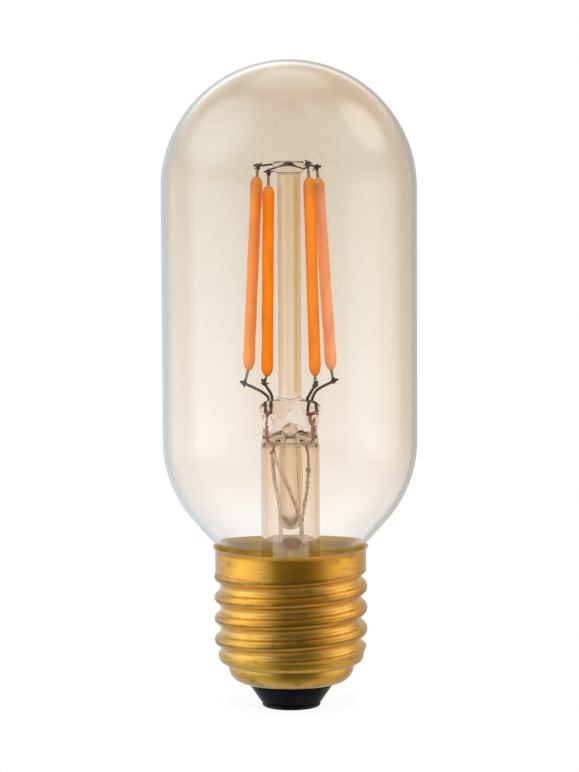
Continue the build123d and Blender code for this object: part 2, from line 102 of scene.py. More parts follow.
# Round section carried along a path: each ring lies square to it, its axes turned as little as they can.
def tubeGrid(path, radius, sides):
    path = np.asarray(path, float)
    ahead = np.gradient(path, axis=0)
    ahead /= np.linalg.norm(ahead, axis=1)[:, None]
    first = np.zeros_like(path)
    guess = np.array([0.31, 0.87, 0.38])
    for i, direction in enumerate(ahead):
        guess = guess - direction * (guess @ direction)
        guess /= np.linalg.norm(guess)
        first[i] = guess
    second = np.cross(first, ahead)
    turn = np.linspace(0, fullTurn, sides, endpoint=False)
    reach = np.broadcast_to(np.asarray(radius, float).reshape(-1, 1), (len(path), 1))[:, :, None]
    ring = np.cos(turn)[None, :, None] * first[:, None, :] + np.sin(turn)[None, :, None] * second[:, None, :]
    return path[:, None, :] + reach * ring


# Path through points: a cubic through each four neighbours, with even steps.
def smoothPath(points, perStretch):
    knots = np.asarray(points, float)
    padded = np.concatenate([[2 * knots[0] - knots[1]], knots, [2 * knots[-1] - knots[-2]]])
    t = np.linspace(0, 1, perStretch, endpoint=False)[:, None]
    stretches = []
    for a, b, c, d in zip(padded[:-3], padded[1:-2], padded[2:-1], padded[3:]):
        stretches.append(0.5 * (2 * b + (c - a) * t + (2 * a - 5 * b + 4 * c - d) * t**2
                                + (3 * b - a - 3 * c + d) * t**3))
    return np.concatenate(stretches + [knots[-1:]])


# Faces of a grid that closes round its columns. Its ends run to points, join in a ring or stay open.
def gridMesh(points, ends="points", flip=False):
    rows, columns = points.shape[:2]
    verts = points.reshape(-1, 3)
    ids = np.arange(rows * columns).reshape(rows, columns)
    if ends == "ring":
        ids = np.concatenate([ids, ids[:1]])
    after = np.roll(ids, -1, axis=1)
    faces = [np.stack([ids[:-1], ids[1:], after[1:], after[:-1]], axis=2).reshape(-1, 4)]
    if ends == "points":
        tips = np.stack([points[0].mean(axis=0), points[-1].mean(axis=0)])
        verts = np.concatenate([verts, tips])
        top, bottom = rows * columns, rows * columns + 1
        faces.append(np.stack([np.full(columns, top), ids[0], after[0]], axis=1))
        faces.append(np.stack([np.full(columns, bottom), after[-1], ids[-1]], axis=1))
    if flip:
        faces = [part[:, ::-1] for part in faces]
    return verts, faces


# Puts one or more grids in as one object, in millimetres of the part's frame.
def addObject(name, grids, material):
    allVerts, allFaces, start = [], [], 0
    for verts, faces in grids:
        allVerts.append(verts)
        for part in faces:
            allFaces.extend((part + start).tolist())
        start += len(verts)
    mesh = bpy.data.meshes.new(name)
    mesh.from_pydata((np.concatenate(allVerts) * mm).tolist(), [], allFaces)
    mesh.update()
    mesh.shade_smooth()
    mesh.materials.append(material)
    made = bpy.data.objects.new(name, mesh)
    scene.collection.objects.link(made)
    return made


# Adds a piece that rides on the part in place of some of its nodes. Attributes give each point a value.
def addPiece(name, grids, material, replaced, slotName, sharpAngle=40, **attributes):
    piece = addObject(name, grids, material)
    piece.data.set_sharp_from_angle(angle=math.radians(sharpAngle))
    for key, values in attributes.items():
        layer = piece.data.attributes.new(key, "FLOAT", "POINT")
        layer.data.foreach_set("value", np.asarray(values, np.float32).reshape(-1))
    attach(piece, "root")
    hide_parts(*replaced)
    return piece


# Gives a socket a plain value, or links another node's output to it.
def feed(tree, socket, value):
    if isinstance(value, bpy.types.NodeSocket):
        tree.links.new(value, socket)
    else:
        socket.default_value = value


# New node in a tree, whose first inputs take the values in their order.
def addNode(tree, kind, operation=None, *values):
    made = tree.nodes.new("ShaderNode" + kind)
    if operation:
        made.operation = operation
    for socket, value in zip(made.inputs, values):
        feed(tree, socket, value)
    return made


class Shader:
    # A Principled material with its object coordinates in millimetres ready to use.
    def __init__(self, name):
        self.material = bpy.data.materials.new(name)
        self.material.use_nodes = True
        self.tree = self.material.node_tree
        self.bsdf = self.tree.nodes["Principled BSDF"]
        scale = self.node("VectorMath", "SCALE", self.node("TexCoord").outputs["Object"])
        scale.inputs["Scale"].default_value = 1 / mm
        self.place = scale.outputs["Vector"]

    def node(self, kind, operation=None, *values):
        return addNode(self.tree, kind, operation, *values)

    # Values of the surface, each a plain value or another node's output.
    def set(self, **values):
        for key, value in values.items():
            feed(self.tree, self.bsdf.inputs[key.replace("_", " ")], value)

    # Place stretched by a factor along each axis.
    def stretched(self, factors):
        return self.node("VectorMath", "MULTIPLY", self.place, factors).outputs["Vector"]

    def noise(self, vector, scale, detail=3.0, roughness=0.55):
        made = self.node("TexNoise", None, vector)
        for key, value in (("Scale", scale), ("Detail", detail), ("Roughness", roughness)):
            made.inputs[key].default_value = value
        return made.outputs["Fac"]

    # Height of the point, in millimetres.
    def height(self):
        return self.node("SeparateXYZ", None, self.place).outputs["Z"]

    # Place of the point across the lamp, in millimetres.
    def across(self):
        return self.node("SeparateXYZ", None, self.place).outputs["X"]

    # Distance from the lamp's axis, in millimetres.
    def distance(self):
        return self.node("VectorMath", "LENGTH", self.stretched((1.0, 1.0, 0.0))).outputs["Value"]

    def attribute(self, name):
        made = self.node("Attribute")
        made.attribute_name = name
        return made.outputs["Fac"]

    # From 0 where the surface faces the eye to 1 where it turns away.
    def facing(self):
        return self.node("LayerWeight", None, 0.5).outputs["Facing"]

    # From one amount to another while the source goes from low to high.
    def range(self, source, low, high, start=0.0, end=1.0, kind="SMOOTHSTEP"):
        made = self.node("MapRange", None, source, low, high, start, end)
        made.interpolation_type = kind
        return made.outputs["Result"]

    # From 0 to 1 and back to 0 over four values.
    def band(self, source, low, lowFull, highFull, high):
        return self.product(self.range(source, low, lowFull), self.range(source, highFull, high, 1.0, 0.0))

    def product(self, first, second):
        return self.node("Math", "MULTIPLY", first, second).outputs[0]

    def largest(self, first, second):
        return self.node("Math", "MAXIMUM", first, second).outputs[0]

    # Colour between two, by a factor. A colour is given as numbers or as another output.
    def mix(self, factor, first, second, blend="MIX"):
        made = self.node("Mix", None, factor)
        made.data_type = "RGBA"
        made.blend_type = blend
        for key, colour in ((6, first), (7, second)):
            feed(self.tree, made.inputs[key], (*colour, 1) if isinstance(colour, tuple) else colour)
        return made.outputs[2]

    def bump(self, height, strength, distance):
        made = self.node("Bump")
        made.inputs["Strength"].default_value = strength
        made.inputs["Distance"].default_value = distance * mm
        self.tree.links.new(height, made.inputs["Height"])
        self.set(Normal=made.outputs["Normal"])


# Clear glass lets lamps and diffuse light through, so that what is inside is lit.
def letLightThrough(piece):
    piece.visible_shadow = False
    piece.visible_diffuse = False


# Glass envelope
envelopeLook = {
    "length": 110.2,
    "radius": 21.6,
    "wall": 0.8,
    "neckRadius": 11.3,
    "neckStraight": 24.95,
    "neckEnd": 15.0,
    "fillet": 4.0,
    "taperRun": 4.05,
    "slope": 42.0,
    "sides": 192,
    "lowerTint": (0.99, 0.955, 0.912),
    "upperTint": (0.838, 0.782, 0.69),
    "tintRise": (26.0, 92.0),
    "domeTint": (0.80, 0.715, 0.60),
    "domeRise": (94.0, 108.0),
    "bottomTint": (1.0, 0.995, 0.985),
    "bottomRise": (31.0, 45.0),
    "paintedSideShade": ((0.955, 0.94, 0.925), (0.90, 0.83, 0.755)),  # at the left and at the right
    "sideTurn": (0.15, 0.65),
    "sideRise": (30.0, 46.0),
    "paintedOutlineShade": ((0.84, 0.83, 0.80), (0.71, 0.68, 0.63)),
    "edgeTurn": (0.72, 0.95),
    "edgeRise": (28.0, 46.0),
    "leftToRight": (-16.0, 16.0),
    "gloss": (0.50, 0.78, 1.0),
}


# Meridian of the glass at a depth under its skin: dome, wall, round shoulder, taper, fillet and neck.
def envelopeLine(look, inset):
    sine, cosine = math.sin(math.radians(look["slope"])), math.cos(math.radians(look["slope"]))
    neckSide, neckTop = look["neckRadius"] - inset, look["neckStraight"]
    filletX = look["neckRadius"] + look["fillet"]
    taperLow = filletX - look["fillet"] * cosine
    shoulder = (look["radius"] - taperLow - look["taperRun"]) / (1 - cosine)
    shoulderX = look["radius"] - shoulder
    shoulderZ = neckTop + (look["fillet"] + shoulder) * sine + look["taperRun"] * cosine / sine
    side = look["radius"] - inset
    domeZ = look["length"] - look["radius"]
    return joinLines(
        arcLine((0, domeZ), side, 89.5, 0, 56),
        straightLine((side, domeZ), (side, shoulderZ), 24),
        arcLine((shoulderX, shoulderZ), shoulder - inset, 0, -look["slope"], 30),
        arcLine((filletX, neckTop), look["fillet"] + inset, 180 - look["slope"], 180, 16),
        straightLine((neckSide, neckTop), (neckSide, look["neckEnd"]), 6),
    )


# Amber that deepens upwards, pale at the bottom. Greyer where the wall turns away and at its outline as
# painted shade, cool grey at the left and warm brown at the right as painted reflection.
def envelopeMaterial(look):
    shader = Shader("envelopeGlass")
    height, facing = shader.height(), shader.facing()
    cloud = shader.range(shader.noise(shader.place, 0.05, 2.0), 0.2, 0.8, 0.9, 1.0)
    rise = shader.product(shader.range(height, *look["tintRise"], kind="LINEAR"), cloud)
    tint = shader.mix(rise, look["lowerTint"], look["upperTint"])
    tint = shader.mix(shader.range(height, *look["domeRise"]), tint, look["domeTint"])
    # Painted reflection: cool at the left, warm at the right.
    leftRightReflection = shader.range(shader.across(), *look["leftToRight"])
    # Painted shade where the wall turns away.
    aslant = shader.range(facing, *look["sideTurn"])
    sideShadeMask = shader.product(aslant, shader.range(height, *look["sideRise"], 0.1))
    side = shader.mix(sideShadeMask, (1.0, 1.0, 1.0), shader.mix(leftRightReflection, *look["paintedSideShade"]))
    tint = shader.mix(1.0, tint, side, "MULTIPLY")
    # Painted shade along the outline.
    outlineShadeMask = shader.range(facing, *look["edgeTurn"])
    rim = shader.product(outlineShadeMask, shader.range(height, *look["edgeRise"], 0.45))
    tint = shader.mix(rim, tint, shader.mix(leftRightReflection, *look["paintedOutlineShade"]))
    tint = shader.mix(shader.range(height, *look["bottomRise"], 0.9, 0.0), tint, look["bottomTint"])
    shader.set(Base_Color=tint, Specular_Tint=(*look["gloss"], 1))
    shader.set(Roughness=0.0, IOR=1.46, Transmission_Weight=1.0)
    return shader.material


outerLine = envelopeLine(envelopeLook, 0)
innerLine = envelopeLine(envelopeLook, envelopeLook["wall"])[::-1]
envelopeGrid = turnedGrid(joinLines(outerLine, innerLine), envelopeLook["sides"])
envelope = addPiece("envelope", [gridMesh(envelopeGrid)], envelopeMaterial(envelopeLook),
                    ["glass_envelope"], "envelope_glass")
letLightThrough(envelope)
print("envelope done")


# Glass stem: flare, tube, pinch, rod and button in one fused piece, with the exhaust tube inside
stemLook = {
    "tubeRadius": 5.0,
    "tubeFoot": 22.2,
    "bore": 4.1,
    "flareRadius": 10.4,
    "flareFoot": 15.05,
    "flareWall": 0.9,
    "roof": 45.8,
    "roofCorner": 2.0,
    "roofRoot": 0.5,
    "broad": ((44.6, 5.0), (47.2, 4.62), (49.2, 4.85), (51.1, 5.2)),  # height, half breadth of the pinch
    "thick": ((43.4, 5.0), (44.4, 4.72), (48.0, 2.95), (49.6, 2.6), (51.1, 2.5)),  # and half thickness
    "flatness": 3.2,
    "pinchTop": 52.7,
    "crownCurve": 0.8,
    "rodRadius": 1.95,
    "rodRoot": 0.7,
    "buttonRadius": 2.75,
    "buttonBase": 91.2,
    "buttonTop": 93.15,
    "buttonEdge": 0.7,
    "buttonRoot": 0.35,
    "exhaustRadius": 2.1,
    "exhaustBore": 1.2,
    "exhaustTip": 30.4,
    "exhaustWall": 0.9,
    "exhaustRound": (0.08, 0.06),  # share of the bore's length at its tip and at its mouth
    "exhaustBend": ((0, 36), (0, 41), (0, 45.2), (-0.5, 46.8), (-1.5, 47.5), (-2.45, 47.7)),  # forward, up
    "press": 0.26,
    "pressRise": (46.0, 48.2),
    "pressFall": (51.2, 52.6),
    "sides": 128,
    "tubeTint": (0.965, 0.90, 0.82),
    "tubeStreak": (0.99, 0.95, 0.89),
    "tubeEdgeShade": (0.88, 0.77, 0.63),
    "pinchTint": (0.93, 0.79, 0.69),
    "pinchClear": (1.0, 0.985, 0.96),
    "pinchFold": (0.62, 0.46, 0.35),
    "pinchBand": (45.6, 47.0, 51.6, 53.0),
    "rodTint": (0.95, 0.82, 0.65),
    "rodStreak": (0.99, 0.92, 0.81),
    "rodEdgeShade": (0.78, 0.60, 0.43),
    "rodAmberReflection": (0.78, 0.40, 0.10),
    "amberReflectionBand": (0.6, 0.95, 1.3, 1.6),
    "buttonTint": (0.95, 0.90, 0.83),
    "meltRise": (44.5, 45.3),
    "tipMelt": (2.0, 3.4),
    "meltRough": 0.3,
}


# Outer skin of the stem: round, or two half circles joined by flats, as broad and thick as the stations say.
# The press leaves shallow uneven dents in the flats.
def stemSkin(look):
    pinchTop, rod, root, curve = look["pinchTop"], look["rodRadius"], look["rodRoot"], look["crownCurve"]
    tube = (look["tubeFoot"], look["tubeRadius"])
    shoulder, shoulderBroad = look["broad"][-1]
    shoulderThick = look["thick"][-1][1]
    lowZ = np.linspace(look["tubeFoot"], shoulder, 120)
    broad = throughStations(lowZ, (tube, *look["broad"]))
    thick = throughStations(lowZ, (tube, *look["thick"]))
    crown = np.linspace(0, math.pi / 2, 26)
    fillet = arcLine((rod + root, pinchTop + root), root, 270, 180, 10)[1:]
    crownZ = shoulder + (pinchTop - shoulder) * np.sin(crown[1:])
    crownBroad = rod + root + (shoulderBroad - rod - root) * np.cos(crown[1:]) ** curve
    crownThick = rod + (shoulderThick - rod) * np.cos(crown[1:]) ** curve
    side, base, top = look["buttonRadius"], look["buttonBase"], look["buttonTop"]
    edge, neck = look["buttonEdge"], look["buttonRoot"]
    rodLine = joinLines(
        straightLine((rod, pinchTop + root + 0.2), (rod, base - neck), 60),
        arcLine((rod + neck, base - neck), neck, 180, 90, 6),
        arcLine((side - edge, base + edge), edge, -90, 0, 10),
        arcLine((side - edge, top - edge), edge, 0, 90, 10),
        straightLine((side - edge, top), (0.05, top + 0.02), 8),
    )
    z = np.concatenate([lowZ, crownZ, fillet[:, 1], rodLine[:, 1]])
    a = np.concatenate([broad, crownBroad, fillet[:, 0], rodLine[:, 0]])
    b = np.concatenate([thick, crownThick, np.full(len(fillet), rod), rodLine[:, 0]])
    turn = np.linspace(0, fullTurn, look["sides"], endpoint=False)
    flat = np.tanh(look["flatness"] * np.cos(turn)) / math.tanh(look["flatness"])
    x = b[:, None] * np.cos(turn) + (a - b)[:, None] * flat
    y = b[:, None] * np.sin(turn)
    grid = np.stack([x, y, np.broadcast_to(z[:, None], x.shape)], axis=2)
    where = ramp(z, *look["pressRise"]) * (1 - ramp(z, *look["pressFall"]))
    dent = (softNoise(grid, 4.2, 5) + 0.45 * softNoise(grid, 1.9, 6)) * look["press"] * where[:, None]
    grid[:, :, 1] += dent * np.sin(turn)
    grid[:, :, 0] += 0.4 * dent * np.cos(turn)
    return grid[::-1]


# Inner skin: up the flare and the bore, over the roof, down the exhaust tube and round its melted tip.
def stemHollow(look):
    bore, roof, corner, root = look["bore"], look["roof"], look["roofCorner"], look["roofRoot"]
    exhaust, tip, wall = look["exhaustRadius"], look["exhaustTip"], look["flareWall"]
    reach = look["flareRadius"] - look["tubeRadius"]
    flareCentre = (look["flareRadius"], look["flareFoot"] + wall + reach)
    rootZ = roof - root - 0.3
    return joinLines(
        arcLine(flareCentre, reach, 180, 270, 20),
        arcLine(flareCentre, reach + wall, 270, 180, 20),
        straightLine((bore, flareCentre[1]), (bore, roof - corner), 30),
        arcLine((bore - corner, roof - corner), corner, 0, 62, 12),
        arcLine((exhaust + root, rootZ), root, 90, 180, 6),
        straightLine((exhaust, rootZ), (exhaust, tip + exhaust), 24),
        arcLine((0, tip + exhaust), exhaust, 0, -89, 14),
    )


# Bore of the exhaust tube, bent forward at its top to the hole in the pinch, round at both ends.
def exhaustBore(look):
    low = look["exhaustTip"] + look["exhaustWall"]
    path = smoothPath([(0, 0, low), *((0, y, z) for y, z in look["exhaustBend"])], 12)
    share = np.linspace(0, 1, len(path))
    tip, mouth = look["exhaustRound"]
    tipOff = np.clip(1 - share / tip, 0, 1)
    mouthOff = np.clip((share - 1 + mouth) / mouth, 0, 1)
    radius = look["exhaustBore"] * np.sqrt(np.clip(1 - tipOff**2, 0.01, 1) * (1 - 0.9 * mouthOff**2))
    return tubeGrid(path, radius, 40)


# Streaky tube and rod, darker towards their edges as painted shade, a painted amber reflection in the rod,
# and clear and folded lobes in the pinch.
def stemMaterial(look):
    shader = Shader("stemGlass")
    height = shader.height()
    rod = shader.range(height, look["pinchTop"], look["pinchTop"] + 2.0)
    streak = shader.noise(shader.stretched((1.0, 1.0, 0.06)), 0.9, 3.0)
    fine = shader.noise(shader.stretched((1.0, 1.0, 0.02)), 1.3, 2.0)
    tube = shader.mix(shader.range(streak, 0.3, 0.7), look["tubeTint"], look["tubeStreak"])
    glassRod = shader.mix(shader.range(fine, 0.4, 0.62), look["rodTint"], look["rodStreak"])
    # Painted shade: tube and rod darken towards their edges.
    edge = shader.mix(rod, look["tubeEdgeShade"], look["rodEdgeShade"])
    tint = shader.mix(shader.range(shader.facing(), 0.05, 0.4), shader.mix(rod, tube, glassRod), edge)
    # Painted reflection: an amber line down the right of the rod.
    amberReflection = shader.product(shader.band(shader.across(), *look["amberReflectionBand"]), rod)
    tint = shader.mix(amberReflection, tint, look["rodAmberReflection"])
    button = shader.range(height, look["buttonBase"] - look["buttonEdge"], look["buttonBase"])
    tint = shader.mix(button, tint, look["buttonTint"])
    lobes = shader.noise(shader.stretched((1.0, 1.0, 0.8)), 0.3, 1.5)
    folded = shader.mix(shader.range(lobes, 0.44, 0.56), look["pinchTint"], look["pinchClear"])
    broken = shader.range(shader.noise(shader.place, 0.5, 2.0), 0.48, 0.6)
    crease = shader.product(shader.band(lobes, 0.46, 0.49, 0.505, 0.535), broken)
    folded = shader.mix(crease, folded, look["pinchFold"])
    tint = shader.mix(shader.band(height, *look["pinchBand"]), tint, folded)
    rough = shader.range(shader.attribute("melted"), 0.0, 1.0, 0.0, look["meltRough"])
    shader.set(Base_Color=tint, Roughness=rough, IOR=1.5, Transmission_Weight=1.0)
    return shader.material


# From 0 to 1 where the glass was melted: round the roof of the hollow and at the exhaust tube's tip.
def meltedShare(look, points):
    reach, z = np.hypot(points[:, 0], points[:, 1]), points[:, 2]
    roof = ramp(z, *look["meltRise"]) * (z < look["roof"] + 0.1) * (reach < look["bore"] - 0.2)
    tip = (1 - ramp(z - look["exhaustTip"], *look["tipMelt"])) * (reach < look["exhaustRadius"] + 0.1)
    return np.maximum(roof, tip)


hollowGrid = turnedGrid(stemHollow(stemLook), stemLook["sides"])
stemGrid = np.concatenate([stemSkin(stemLook), hollowGrid])
stemParts = [gridMesh(stemGrid), gridMesh(exhaustBore(stemLook), flip=True)]
stemMelted = meltedShare(stemLook, np.concatenate([verts for verts, faces in stemParts]))
stem = addPiece("stem", stemParts, stemMaterial(stemLook),
                ["stem_flare", "exhaust_tube", "support_rod"], "stem_glass", melted=stemMelted)
letLightThrough(stem)
print("stem done")


# Screw cap
capLook = {
    "crest": 13.05,
    "depth": 1.05,
    "pitch": 3.629,
    "crestHeight": 15.2,
    "threadFoot": 8.7,
    "threadTop": 23.35,
    "footRun": 0.42,
    "footSink": 0.2,
    "topRun": 0.4,
    "topSink": 0.1,
    "wall": 0.3,
    "rim": 27.6,
    "collar": 12.85,
    "collarLow": 22.5,
    "collarBevel": 0.85,
    "flare": 0.4,
    "flareHeight": 0.9,
    "skirt": 12.4,
    "skirtTop": 9.2,
    "skirtHeight": 7.6,
    "skirtCorner": 1.2,
    "step": 0.15,
    "bowl": 10.7,
    "bowlTop": 7.0,
    "bowlHeight": 4.35,
    "bowlCorner": 2.6,
    "lip": 7.35,
    "bodyFoot": 8.85,
    "blend": 0.12,
    "sides": 200,
    "brass": (0.86, 0.41, 0.022),
    "warm": (0.74, 0.345, 0.014),
    "olive": (0.70, 0.39, 0.035),
    "oliveRise": (8.0, 19.0),
    "rootHighlightColour": (0.96, 0.55, 0.10),
    "valleyWidth": 0.26,
    "dull": (0.46, 0.225, 0.012),
    "tarnishAndShade": (0.15, 0.068, 0.009),
    "wearDrop": 0.05,
    "wearWidth": 0.075,
    "shadeRise": (8.8, 9.8),
    "shadeFall": (23.6, 24.2),
    "lining": (0.42, 0.255, 0.02),
}


# Turns of the thread above the crest at the reference height: whole on a crest, half way on a root.
# A crest climbs one pitch for each turn to the right.
def threadShare(look, turn, z):
    return (z - look["crestHeight"]) / look["pitch"] - (turn - math.pi) / fullTurn


# Radius of the rolled thread: crest and root are arcs of one radius that meet in a smooth flank.
def threadRadius(look, turn, z, inset):
    flank = 2 * math.atan(look["depth"] / (look["pitch"] / 2))
    arc = look["pitch"] / 4 / math.sin(flank)
    rise = np.abs((threadShare(look, turn, z) + 0.5) % 1 - 0.5) * look["pitch"]
    fall = look["pitch"] / 2 - rise
    crest = look["crest"] - arc + np.sqrt(np.clip((arc - inset) ** 2 - rise**2, 0, None))
    root = look["crest"] - look["depth"] + arc - np.sqrt(np.clip((arc + inset) ** 2 - fall**2, 0, None))
    return np.where(rise <= (arc - inset) * math.sin(flank), crest, root)


# The larger of two, with a soft change from one to the other.
def softMax(first, second, width):
    return 0.5 * (first + second + np.sqrt((first - second) ** 2 + width**2))


# Radius of the cap between skirt and collar: the thread, run out at both ends, and their two bevels.
def capBody(look, turn, z, inset):
    footRun = look["skirt"] - look["footSink"] + (z - look["threadFoot"]) * look["footRun"]
    topRun = look["collar"] - look["topSink"] + (look["threadTop"] - z) * look["topRun"]
    thread = np.minimum(threadRadius(look, turn, z, inset), np.minimum(footRun, topRun) - inset)
    collar = look["collar"] - np.maximum(look["collarLow"] + look["collarBevel"] - z, 0) - inset
    skirt = look["skirt"] - np.maximum(z - look["skirtTop"], 0) - inset
    return softMax(softMax(thread, collar, look["blend"]), skirt, look["blend"])


# Rows of one wall of the cap: lip, bowl, skirt, thread, collar and a rim flared by its height squared.
def capRows(look, turn, inset, count):
    seat, bowlSide = look["bowl"] - look["bowlCorner"], look["bowl"] - inset
    lipZ, skirtZ = look["bowlHeight"] + inset, look["skirtHeight"] + inset
    step, corner, flareZ = look["step"], look["skirtCorner"], look["rim"] - look["flareHeight"]
    below = joinLines(
        straightLine((look["lip"], lipZ), (seat, lipZ), 5),
        arcLine((seat, look["bowlHeight"] + look["bowlCorner"]), look["bowlCorner"] - inset, -90, 0, 14),
        straightLine((bowlSide, look["bowlTop"]), (bowlSide, skirtZ - 0.1), 4),
        arcLine((bowlSide + step, skirtZ - step), step, 180, 90, 4),
        arcLine((look["skirt"] - corner, look["skirtHeight"] + corner), corner - inset, -90, 0, 10),
    )
    low = np.repeat(below[:, None, :], len(turn), axis=1)
    z = np.linspace(look["bodyFoot"], flareZ, count)[:, None]
    body = capBody(look, turn[None, :], z, inset)
    middle = np.stack([body, np.broadcast_to(z, body.shape)], axis=2)
    rise = np.linspace(0, 1, 8)[1:]
    rimSide = look["collar"] - inset + look["flare"] * rise**2
    rim = np.stack([rimSide, flareZ + look["flareHeight"] * rise], axis=1)
    return np.concatenate([low, middle, np.repeat(rim[:, None, :], len(turn), axis=1)])


# Closed ring of rows: the outer wall upwards, then the inner wall downwards.
def capGrid(look):
    turn = np.linspace(0, fullTurn, look["sides"], endpoint=False)
    outside = capRows(look, turn, 0.0, 230)
    inside = capRows(look, turn, look["wall"], 110)[::-1]
    rows = np.concatenate([outside, inside])
    radius, z = rows[:, :, 0], rows[:, :, 1]
    return np.stack([radius * np.cos(turn), radius * np.sin(turn), z], axis=2), len(outside)


# Drawn brass with a painted highlight along the thread's root, dull streaks and specks, dark smears and a
# painted shade line under each crest. The lining is matt.
def brassMaterial(look):
    shader = Shader("capBrass")
    drawn = shader.noise(shader.stretched((0.12, 0.12, 9.0)), 1.0, 3.0, 0.6)
    smear = shader.noise(shader.stretched((0.55, 0.55, 1.3)), 0.42, 5.0, 0.62)
    specks = shader.noise(shader.stretched((1.0, 1.0, 1.6)), 1.5, 4.0, 0.7)
    patch = shader.noise(shader.place, 0.13, 3.0, 0.5)
    wear, valley, lining = (shader.attribute(key) for key in ("wear", "valley", "lining"))
    colour = shader.mix(shader.range(patch, 0.38, 0.62), look["brass"], look["warm"])
    colour = shader.mix(shader.range(shader.height(), *look["oliveRise"], 0.85, 0.0), colour, look["olive"])
    # Painted highlight: paler brass along the thread's root.
    colour = shader.mix(shader.range(valley, 0.0, 1.0, 0.0, 0.7), colour, look["rootHighlightColour"])
    colour = shader.mix(shader.range(drawn, 0.42, 0.72, 0.0, 0.55), colour, look["dull"])
    colour = shader.mix(shader.range(specks, 0.55, 0.72, 0.0, 0.75), colour, look["dull"])
    # Painted shade: a dark line under each crest, broken up by the smears; the spots are tarnish.
    worn = shader.product(wear, shader.range(smear, 0.3, 0.6, 0.2, 0.75))
    spots = shader.product(shader.range(smear, 0.5, 0.72), shader.range(patch, 0.36, 0.62, 0.0, 0.8))
    colour = shader.mix(shader.largest(worn, spots), colour, look["tarnishAndShade"])
    shine = shader.range(smear, 0.3, 0.75, 0.33, 0.45)
    shader.set(Base_Color=shader.mix(lining, colour, look["lining"]))
    shader.set(Roughness=shader.largest(shine, shader.range(lining, 0.0, 1.0, 0.0, 0.7)))
    shader.set(Metallic=shader.range(lining, 0.0, 1.0, 1.0, 0.1))
    shader.set(Coat_Weight=0.7, Coat_Roughness=0.18)
    shader.bump(drawn, 0.4, 0.05)
    return shader.material


# Two masks from 0 to 1: a narrow line just under the crest of the thread, dark as painted shade,
# and a broad band along its root, paler as a painted highlight.
def threadShades(look, points):
    z = points[:, :, 2]
    share = threadShare(look, np.arctan2(points[:, :, 1], points[:, :, 0]) % fullTurn, z)
    crestOff = (share + look["wearDrop"] + 0.5) % 1 - 0.5
    rootOff = share % 1 - 0.5
    threaded = ramp(z, *look["shadeRise"]) * (1 - ramp(z, *look["shadeFall"]))
    wear = np.exp(-((crestOff / look["wearWidth"]) ** 2)) * threaded
    return wear, np.exp(-((rootOff / look["valleyWidth"]) ** 2)) * threaded


capPoints, outsideRows = capGrid(capLook)
capLining = np.zeros(capPoints.shape[:2])
capLining[outsideRows:] = 1.0
capCrestShade, capRootHighlight = (shade * (1 - capLining) for shade in threadShades(capLook, capPoints))
addPiece("cap", [gridMesh(capPoints, "ring", flip=True)], brassMaterial(capLook),
         ["cap_shell"], "cap_brass", 50, wear=capCrestShade, valley=capRootHighlight, lining=capLining)
print("cap done")


# Insulator and foot contact
footLook = {
    "bore": 1.56,
    "boss": 3.0,
    "bossTop": 7.4,
    "plate": 10.38,
    "plateTop": 6.95,
    "plateCorner": 2.28,
    "neck": 7.33,
    "neckLow": 4.3,
    "neckRound": 0.78,
    "neckRoundHeight": 4.25,
    "cone": ((7.18, 3.79), (5.35, 1.12)),  # radius and height of its upper and lower end
    "coneRound": 0.4,
    "coneRoundCentre": (5.02, 1.3),
    "coneFoot": 0.88,
    "pin": 1.54,
    "pinTop": 7.9,
    "disc": 5.0,
    "discTop": 0.86,
    "discFlat": 4.85,
    "upperRound": 0.4,
    "lowerRound": 0.45,
    "axis": 0.02,
    "sides": 96,
    "glass": (0.002, 0.0022, 0.005),
    "cloudy": (0.004, 0.0045, 0.010),
    "metal": (0.012, 0.012, 0.014),
    "worn": (0.06, 0.055, 0.055),
}


# Meridian of the insulator, a ring round the pin: boss, plate, round corner, neck and cone.
def insulatorLine(look):
    bore, boss, neck, corner = look["bore"], look["boss"], look["neck"], look["plateCorner"]
    bossTop, plateTop, foot = look["bossTop"], look["plateTop"], look["coneFoot"]
    seat, cornerX = plateTop - corner, look["plate"] - corner
    return joinLines(
        straightLine((bore, bossTop), (boss, bossTop), 3),
        straightLine((boss, bossTop), (boss, plateTop), 2),
        straightLine((boss, plateTop), (look["plate"], plateTop), 6),
        arcLine((cornerX, plateTop), corner, 0, -90, 14),
        straightLine((cornerX, seat), (neck, seat), 3),
        straightLine((neck, seat), (neck, look["neckLow"]), 2),
        arcLine((neck - look["neckRound"], look["neckRoundHeight"]), look["neckRound"], 0, -36, 6),
        straightLine(*look["cone"], 16),
        arcLine(look["coneRoundCentre"], look["coneRound"], -30, -90, 6),
        straightLine((look["coneRoundCentre"][0], foot), (bore, foot), 5),
    )


# Meridian of the contact: a pin on a disc with a round edge.
def contactLine(look):
    axis, pin, pinTop, discTop = look["axis"], look["pin"], look["pinTop"], look["discTop"]
    upper, lower = look["upperRound"], look["lowerRound"]
    return joinLines(
        straightLine((axis, pinTop), (pin, pinTop), 4),
        straightLine((pin, pinTop), (pin, discTop), 8),
        straightLine((pin, discTop), (look["discFlat"], discTop), 8),
        arcLine((look["disc"] - upper, discTop - upper), upper, 60, 0, 5),
        arcLine((look["disc"] - lower, lower), lower, 0, -90, 8),
        straightLine((look["disc"] - lower, 0.0), (axis, 0.0), 10),
    )


# Black glass, a little cloudy and uneven.
def insulatorMaterial(look):
    shader = Shader("insulatorGlass")
    cloud = shader.noise(shader.place, 0.5, 3.0)
    shader.set(Base_Color=shader.mix(shader.range(cloud, 0.35, 0.7), look["glass"], look["cloudy"]))
    shader.set(Roughness=shader.range(cloud, 0.3, 0.7, 0.16, 0.3), Specular_IOR_Level=0.05)
    shader.bump(shader.noise(shader.place, 1.4, 2.0), 0.12, 0.2)
    return shader.material


